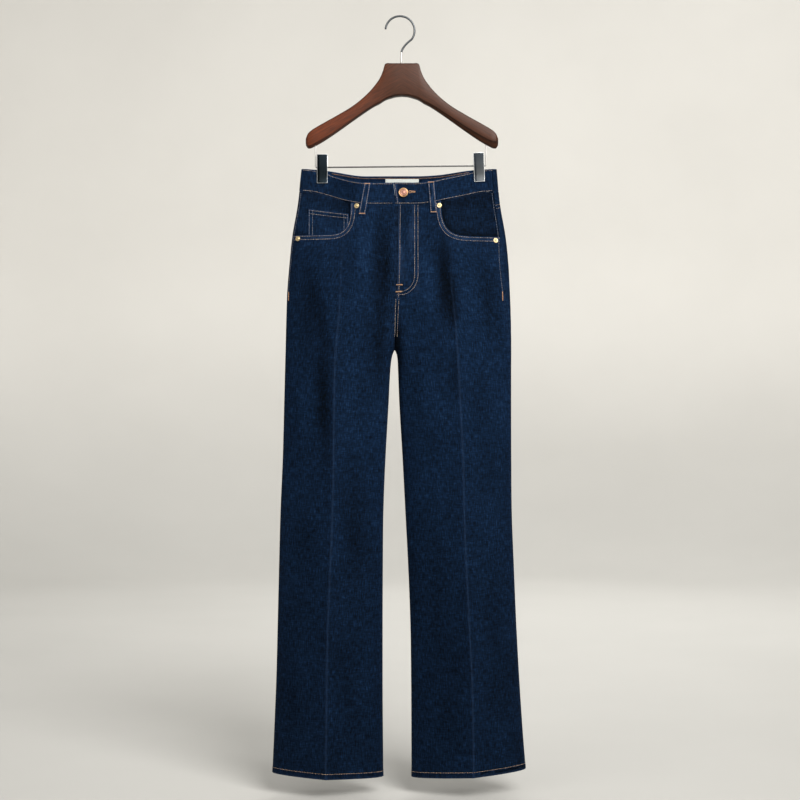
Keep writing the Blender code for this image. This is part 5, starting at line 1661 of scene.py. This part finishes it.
def tube(name, route, radius, finishes, slot, nodes, sides=20, bright=None):
    """A round wire along a route, with domed ends. It takes the second finish, painted light, where bright is true.
    """
    route = np.array(route, float)
    ahead = np.gradient(route, axis=0)
    ahead /= np.linalg.norm(ahead, axis=1, keepdims=True)
    places = ([route[0] - ahead[0] * radius * out for out, _ in DOME[::-1]] + list(route)
              + [route[-1] + ahead[-1] * radius * out for out, _ in DOME])
    directions = [ahead[0]] * 3 + list(ahead) + [ahead[-1]] * 3
    sizes = [size for _, size in DOME[::-1]] + [1] * len(route) + [size for _, size in DOME]
    side = np.cross(directions[0], (0.0, 1.0, 0.001))
    side /= np.linalg.norm(side)
    rings, angle = [], circle(sides)
    for place, direction, size in zip(places, directions, sizes):
        side = side - direction * np.dot(side, direction)
        side /= np.linalg.norm(side)
        other = np.cross(direction, side)
        rings.append(place + radius * size * (np.cos(angle)[:, None] * side + np.sin(angle)[:, None] * other))
    bright = np.zeros(len(route), bool) if bright is None else bright
    runs = np.concatenate([[bright[0]] * 3, bright, [bright[-1]] * 2])
    face_finish = np.concatenate([np.repeat(runs, sides), [bright[0], bright[-1]]])
    piece = add_mesh(name, np.concatenate(rings), ring_faces(len(rings), sides), finishes, face_finish=face_finish,
                     sharp=60)
    return dress(piece, slot, *nodes)


HOOK_RADIUS, HOOK_WIRE = 26.4, 1.9
HOOK_CENTRE_X, STEM_X = -1.8, 0.4
HOOK_TIP_DEG, HOOK_LOW_DEG = 172, -38
HOOK_BEND_Z = -63.0      # below this the wire faces the light and looks bright


def hanger_hook():
    centre_z = HOOK_WIRE - HOOK_RADIUS
    angle = np.radians(np.linspace(HOOK_TIP_DEG, HOOK_LOW_DEG, 90))
    bow = xyz(HOOK_CENTRE_X + HOOK_RADIUS * np.cos(angle), 0 * angle, centre_z + HOOK_RADIUS * np.sin(angle))
    t = np.linspace(0, 1, 24)[1:, None]
    control, low = np.array([STEM_X + 1.0, 0, -54.0]), np.array([STEM_X, 0, -66.0])
    sweep = bow[-1] * (1 - t) ** 2 + control * 2 * t * (1 - t) + low * t * t
    stem = xyz(STEM_X, 0, np.array((-70.0, -75.0, -80.0, -84.6)))
    route = np.concatenate([bow, sweep, stem])
    return tube("wire_hook", route, HOOK_WIRE, [CHROME, WIRE_LIT_COPY], "chrome", ["hanger_hook"],
                bright=route[:, 2] < HOOK_BEND_Z)


BAR_WIRE, BAR_BEND = 1.4, 2.6
BRIGHT_END = 14         # places at each end of the bar's route whose wire faces the light
BAR_LEFT, BAR_RIGHT = (-155.3, 273.3), (154.5, 270.2)


def hanger_bar():
    ends = []
    for (x, drop), inward in ((BAR_LEFT, 1), (BAR_RIGHT, -1)):
        top = float(WOOD["bottom"](abs(x - HANGER_CENTRE))) - 0.6
        angle = np.linspace(0, math.pi / 2, 9)
        bend = xyz(x + inward * BAR_BEND * (1 - np.cos(angle)), 0, -(drop - BAR_BEND + BAR_BEND * np.sin(angle)))
        leg = xyz(x, 0, -np.linspace(top, drop - BAR_BEND - 0.5, 8))
        ends.append(np.concatenate([leg, bend]))
    share = np.linspace(0, 1, 60)[1:-1, None]
    middle = mix(ends[0][-1], ends[1][-1], share)
    route = np.concatenate([ends[0], middle, ends[1][::-1]])
    place = np.arange(len(route))
    return tube("wire_bar", route, BAR_WIRE, [WIRE, WIRE_LIT_COPY], "chrome", ["hanger_bar"], 16,
                (place < BRIGHT_END) | (place >= len(route) - BRIGHT_END))


CLIP_HALF_WIDTH, CLIP_PLATE = 9.6, 1.4
CLIP_TILT_DEG = {"left": 0.0, "right": -2.4}
RIM_WIDTH = 1.25
STRIPE_START, STRIPE_END = 1.9, 3.9     # a stripe of painted shade, from the plate's left edge
SPRING_WIRE, SPRING_RADIUS, SPRING_HALF, SPRING_TURNS = 0.75, 2.9, 6.5, 5
# The left clip's plates take a shaded copy of the steel (painted shade), the right clip's rim a lit copy (painted
# light).
CLIP_FINISHES = {"left": (STEEL_SHADED_COPY, RIM), "right": (STEEL, STEEL_EDGE_LIT_COPY)}
# A plate's middle line: depth out from the bar and height above it.
CLIP_LINE = ((7.5, 23.0), (7.1, 14.0), (6.2, 2.0), (4.7, -9.0), (3.4, -19.0), (3.3, -29.0))


def clip(side):
    """Two sprung plates round the bar, each with a bright rolled rim, and the spring between them."""
    x = CLIP_LEFT if side == "left" else CLIP_RIGHT
    share = (x - BAR_LEFT[0]) / (BAR_RIGHT[0] - BAR_LEFT[0])
    bar = -mix(BAR_LEFT[1], BAR_RIGHT[1], share)
    tilt = math.radians(CLIP_TILT_DEG[side])
    height = np.linspace(CLIP_LINE[0][1], CLIP_LINE[-1][1], 40)
    depths, heights = zip(*CLIP_LINE[::-1])
    depth = np.interp(height, heights, depths)
    depth = np.convolve(np.pad(depth, 3, mode="edge"), np.ones(7) / 7, mode="valid")
    across = np.linspace(-CLIP_HALF_WIDTH, CLIP_HALF_WIDTH, 16)
    for face, outward in (("front", -1), ("back", 1)):
        y = outward * (depth[:, None] + 0.25 * (1 - (across / CLIP_HALF_WIDTH) ** 2))
        points = xyz(across, y, height[:, None])
        slope = np.gradient(depth, height)
        normals = xyz(0 * y, outward, -slope[:, None])
        normals /= np.linalg.norm(normals, axis=-1, keepdims=True)
        turn_x = points[..., 0] * math.cos(tilt) + points[..., 2] * math.sin(tilt)
        turn_z = -points[..., 0] * math.sin(tilt) + points[..., 2] * math.cos(tilt)
        points = xyz(x + turn_x, points[..., 1], bar + turn_z)
        # Painted shade: a dark stripe near the left edge, and a darker top on the right clip.
        stripe = (across > STRIPE_START - CLIP_HALF_WIDTH) & (across < STRIPE_END - CLIP_HALF_WIDTH)
        painted_top_shade = 0.0 if side == "left" else 0.8 * ease((height[:, None] + 22) / 44)
        shade = np.maximum(stripe[None, :] * 0.9, painted_top_shade + 0 * points[..., 0])
        plate(f"plate_{side}_{face}", points, normals, CLIP_PLATE, CLIP_FINISHES[side], shade,
              ["clip_" + side] if face == "front" else [])
    turns = np.linspace(0, SPRING_TURNS * 2 * math.pi, 100)
    coil = xyz(x + np.linspace(-SPRING_HALF, SPRING_HALF, 100), SPRING_RADIUS * np.cos(turns),
               bar + SPRING_RADIUS * np.sin(turns))
    tube("spring_" + side, coil, SPRING_WIRE, [WIRE], "steel", [], 10)


def plate(name, points, normals, thickness, finishes, shade, nodes):
    """A closed plate: its rim takes the second finish, and its face is tinted by painted shade."""
    points, normals, shade = support_edges(support_edges([points, normals, shade], RIM_WIDTH), PLATE_SUPPORT)
    rows, columns = points.shape[:2]
    half = thin_edge((rows, columns), PLATE_ROLL) * thickness / 2
    skins, faces, counts = closed_wall(points, normals, 0, half)
    at_rim = np.ones((rows - 1, columns - 1), int)
    at_rim[2:-2, 2:-2] = 0
    face_finish = np.concatenate([at_rim.ravel(), at_rim.ravel(), np.ones(counts[2], int)])
    piece = add_mesh(name, skins, faces, finishes, attributes={"shade": np.tile(shade.ravel(), 2)},
                     face_finish=face_finish, sharp=60)
    return dress(piece, "steel", *nodes)


# ---- room, light and camera ----
ROOM_HALF, CORNER_RADIUS, WALL_TOP, ROOM_SIDES, CORNER_STEPS = 5200.0, 1500.0, 5200.0, 72, 16


def room():
    """A pale studio bowl: a flat floor that curves up into a wall all round, open at the top."""
    corner = np.linspace(0, math.pi / 2, CORNER_STEPS + 1)
    radii = [*(ROOM_HALF - CORNER_RADIUS + CORNER_RADIUS * np.sin(corner)), ROOM_HALF]
    heights = [*(FLOOR_Z + CORNER_RADIUS * (1 - np.cos(corner))), WALL_TOP]
    angle, radii, heights = circle(ROOM_SIDES), np.array(radii)[:, None], np.array(heights)[:, None]
    rings = xyz(radii * np.cos(angle), radii * np.sin(angle), heights).reshape(-1, 3)
    faces = [(0, 1 + i, 1 + (i + 1) % ROOM_SIDES) for i in range(ROOM_SIDES)]
    faces += [[1 + i for i in face] for face in ring_faces(len(radii), ROOM_SIDES, True)[:-2]]
    add_mesh("studio_bowl", np.concatenate([[[0, 0, FLOOR_Z]], rings]), faces, [PAPER])


STUDIO_WHITE = (1.0, 0.99, 0.975)
# Places and sizes in metres, power in watts, spread in degrees.
LIGHTS = table(
    "name place aim size power spread",
    ("key_softbox", (1.1, -2.3, 0.9), (0, 0, -0.55), (1.8, 1.8), 44, 90),
    ("fill_softbox", (-2.6, -3.0, 0.5), (0, 0, -0.6), (2.6, 2.6), 34, 180),
    ("back_softbox", (0.8, 3.2, 1.4), (0, 0, -0.7), (2.6, 2.0), 60, 180),
    ("wall_softbox", (1.1, 0.8, 2.6), (1.2, 5.2, -0.9), (2.6, 1.6), 68, 125),
)
AIR_STRENGTH = 0.70
CAMERA_PLACE, CAMERA_LENS, CAMERA_SENSOR = (-0.0018, -3.0, -0.696), 74.25, 36.0     # level, square to the front


def area_light(light):
    data = bpy.data.lights.new(light.name, "AREA")
    data.shape, data.size, data.size_y = "RECTANGLE", *light.size
    data.energy, data.color, data.spread = light.power, STUDIO_WHITE, math.radians(light.spread)
    lamp = bpy.data.objects.new(light.name, data)
    bpy.context.scene.collection.objects.link(lamp)
    lamp.location = light.place
    lamp.visible_camera = False
    lamp.rotation_euler = (Vector(light.aim) - Vector(light.place)).to_track_quat("-Z", "Y").to_euler()


def light_and_camera():
    scene = bpy.context.scene
    world = bpy.data.worlds.new("studio_air")
    scene.world = world
    world.use_nodes = True
    background = next(node for node in world.node_tree.nodes if node.type == "BACKGROUND")
    background.inputs["Color"].default_value = (*STUDIO_WHITE, 1)
    background.inputs["Strength"].default_value = AIR_STRENGTH
    for light in LIGHTS:
        area_light(light)
    scene.view_settings.view_transform = "Standard"
    scene.view_settings.look = "None"
    data = bpy.data.cameras.new("front_camera")
    data.lens, data.sensor_width = CAMERA_LENS, CAMERA_SENSOR
    data.dof.use_dof = False
    camera = bpy.data.objects.new("front_camera", data)
    scene.collection.objects.link(camera)
    camera.location = CAMERA_PLACE
    camera.rotation_euler = (math.pi / 2, 0, 0)
    scene.camera = camera


# ---- the cut ----
# Each cloth piece as it is cut: its width and length, and its area in square centimetres.
CUT = table(
    "piece width length area hangs_from",
    ("denim_front_left", 245, 1048, 2184, "denim_band_front_left"),
    ("denim_front_right", 250, 1048, 2202, "denim_band_front_right"),
    ("denim_back_left", 250, 1042, 2124, "denim_yoke_left"),
    ("denim_back_right", 250, 1042, 2222, "denim_yoke_right"),
    ("denim_yoke_left", 188, 80, 85, "denim_band_back"),
    ("denim_yoke_right", 190, 81, 89, "denim_band_back"),
    ("denim_band_front_left", 180, 40, 71, "clip_left"),
    ("denim_band_front_right", 184, 40, 73, "clip_right"),
    ("denim_band_back", 372, 42, 153, "clip_left"),
    ("denim_facing_left", 126, 106, 110, "denim_band_front_left"),
    ("denim_facing_right", 124, 108, 105, "denim_band_front_right"),
    ("denim_coin_pocket", 74, 65, 47, "denim_facing_left"),
    ("denim_fly_shield", 48, 170, 70, "denim_band_front_right"),
    ("denim_back_pocket_left", 134, 168, 187, "denim_back_left"),
    ("denim_back_pocket_right", 134, 168, 187, "denim_back_right"),
    ("denim_loop_front_left", 12, 63, 7.5, "denim_band_front_left"),
    ("denim_loop_front_right", 12, 59, 7, "denim_band_front_right"),
    ("denim_loop_back_left", 14, 66, 9, "denim_band_back"),
    ("denim_loop_back_right", 14, 66, 9, "denim_band_back"),
    ("denim_loop_back_centre", 12, 65, 7.8, "denim_band_back"),
    ("tape_waist_label", 62, 31, 18.7, "denim_band_back"),
)


def main():
    made = [make(side) for side in SIGN
            for make in (front_panel, back_panel, yoke, band_front, pocket_facing, back_pocket)]
    made += [band_back(), coin_pocket(), fly_shield(), waist_label()]
    made += [belt_loop(loop) for loop in LOOPS]
    sew_waistband()
    sew_pockets()
    sew_fly()
    sew_loops()
    sew_seams()
    sew_buttonhole()
    sew_label()
    for group, finish in (("front", TAN_THREAD), ("back", TAN_THREAD), ("sides", SIDE_THREAD),
                          ("band_chain", BROWN_THREAD), ("bar_tacks", ORANGE_THREAD), ("hems", HEM_THREAD),
                          ("label", TAN_THREAD)):
        stitches(group, finish)
    fly_button()
    for row in RIVETS:
        rivet(row)
    hanger_wood()
    hanger_hook()
    hanger_bar()
    for side in SIGN:
        clip(side)
    room()
    light_and_camera()


main()
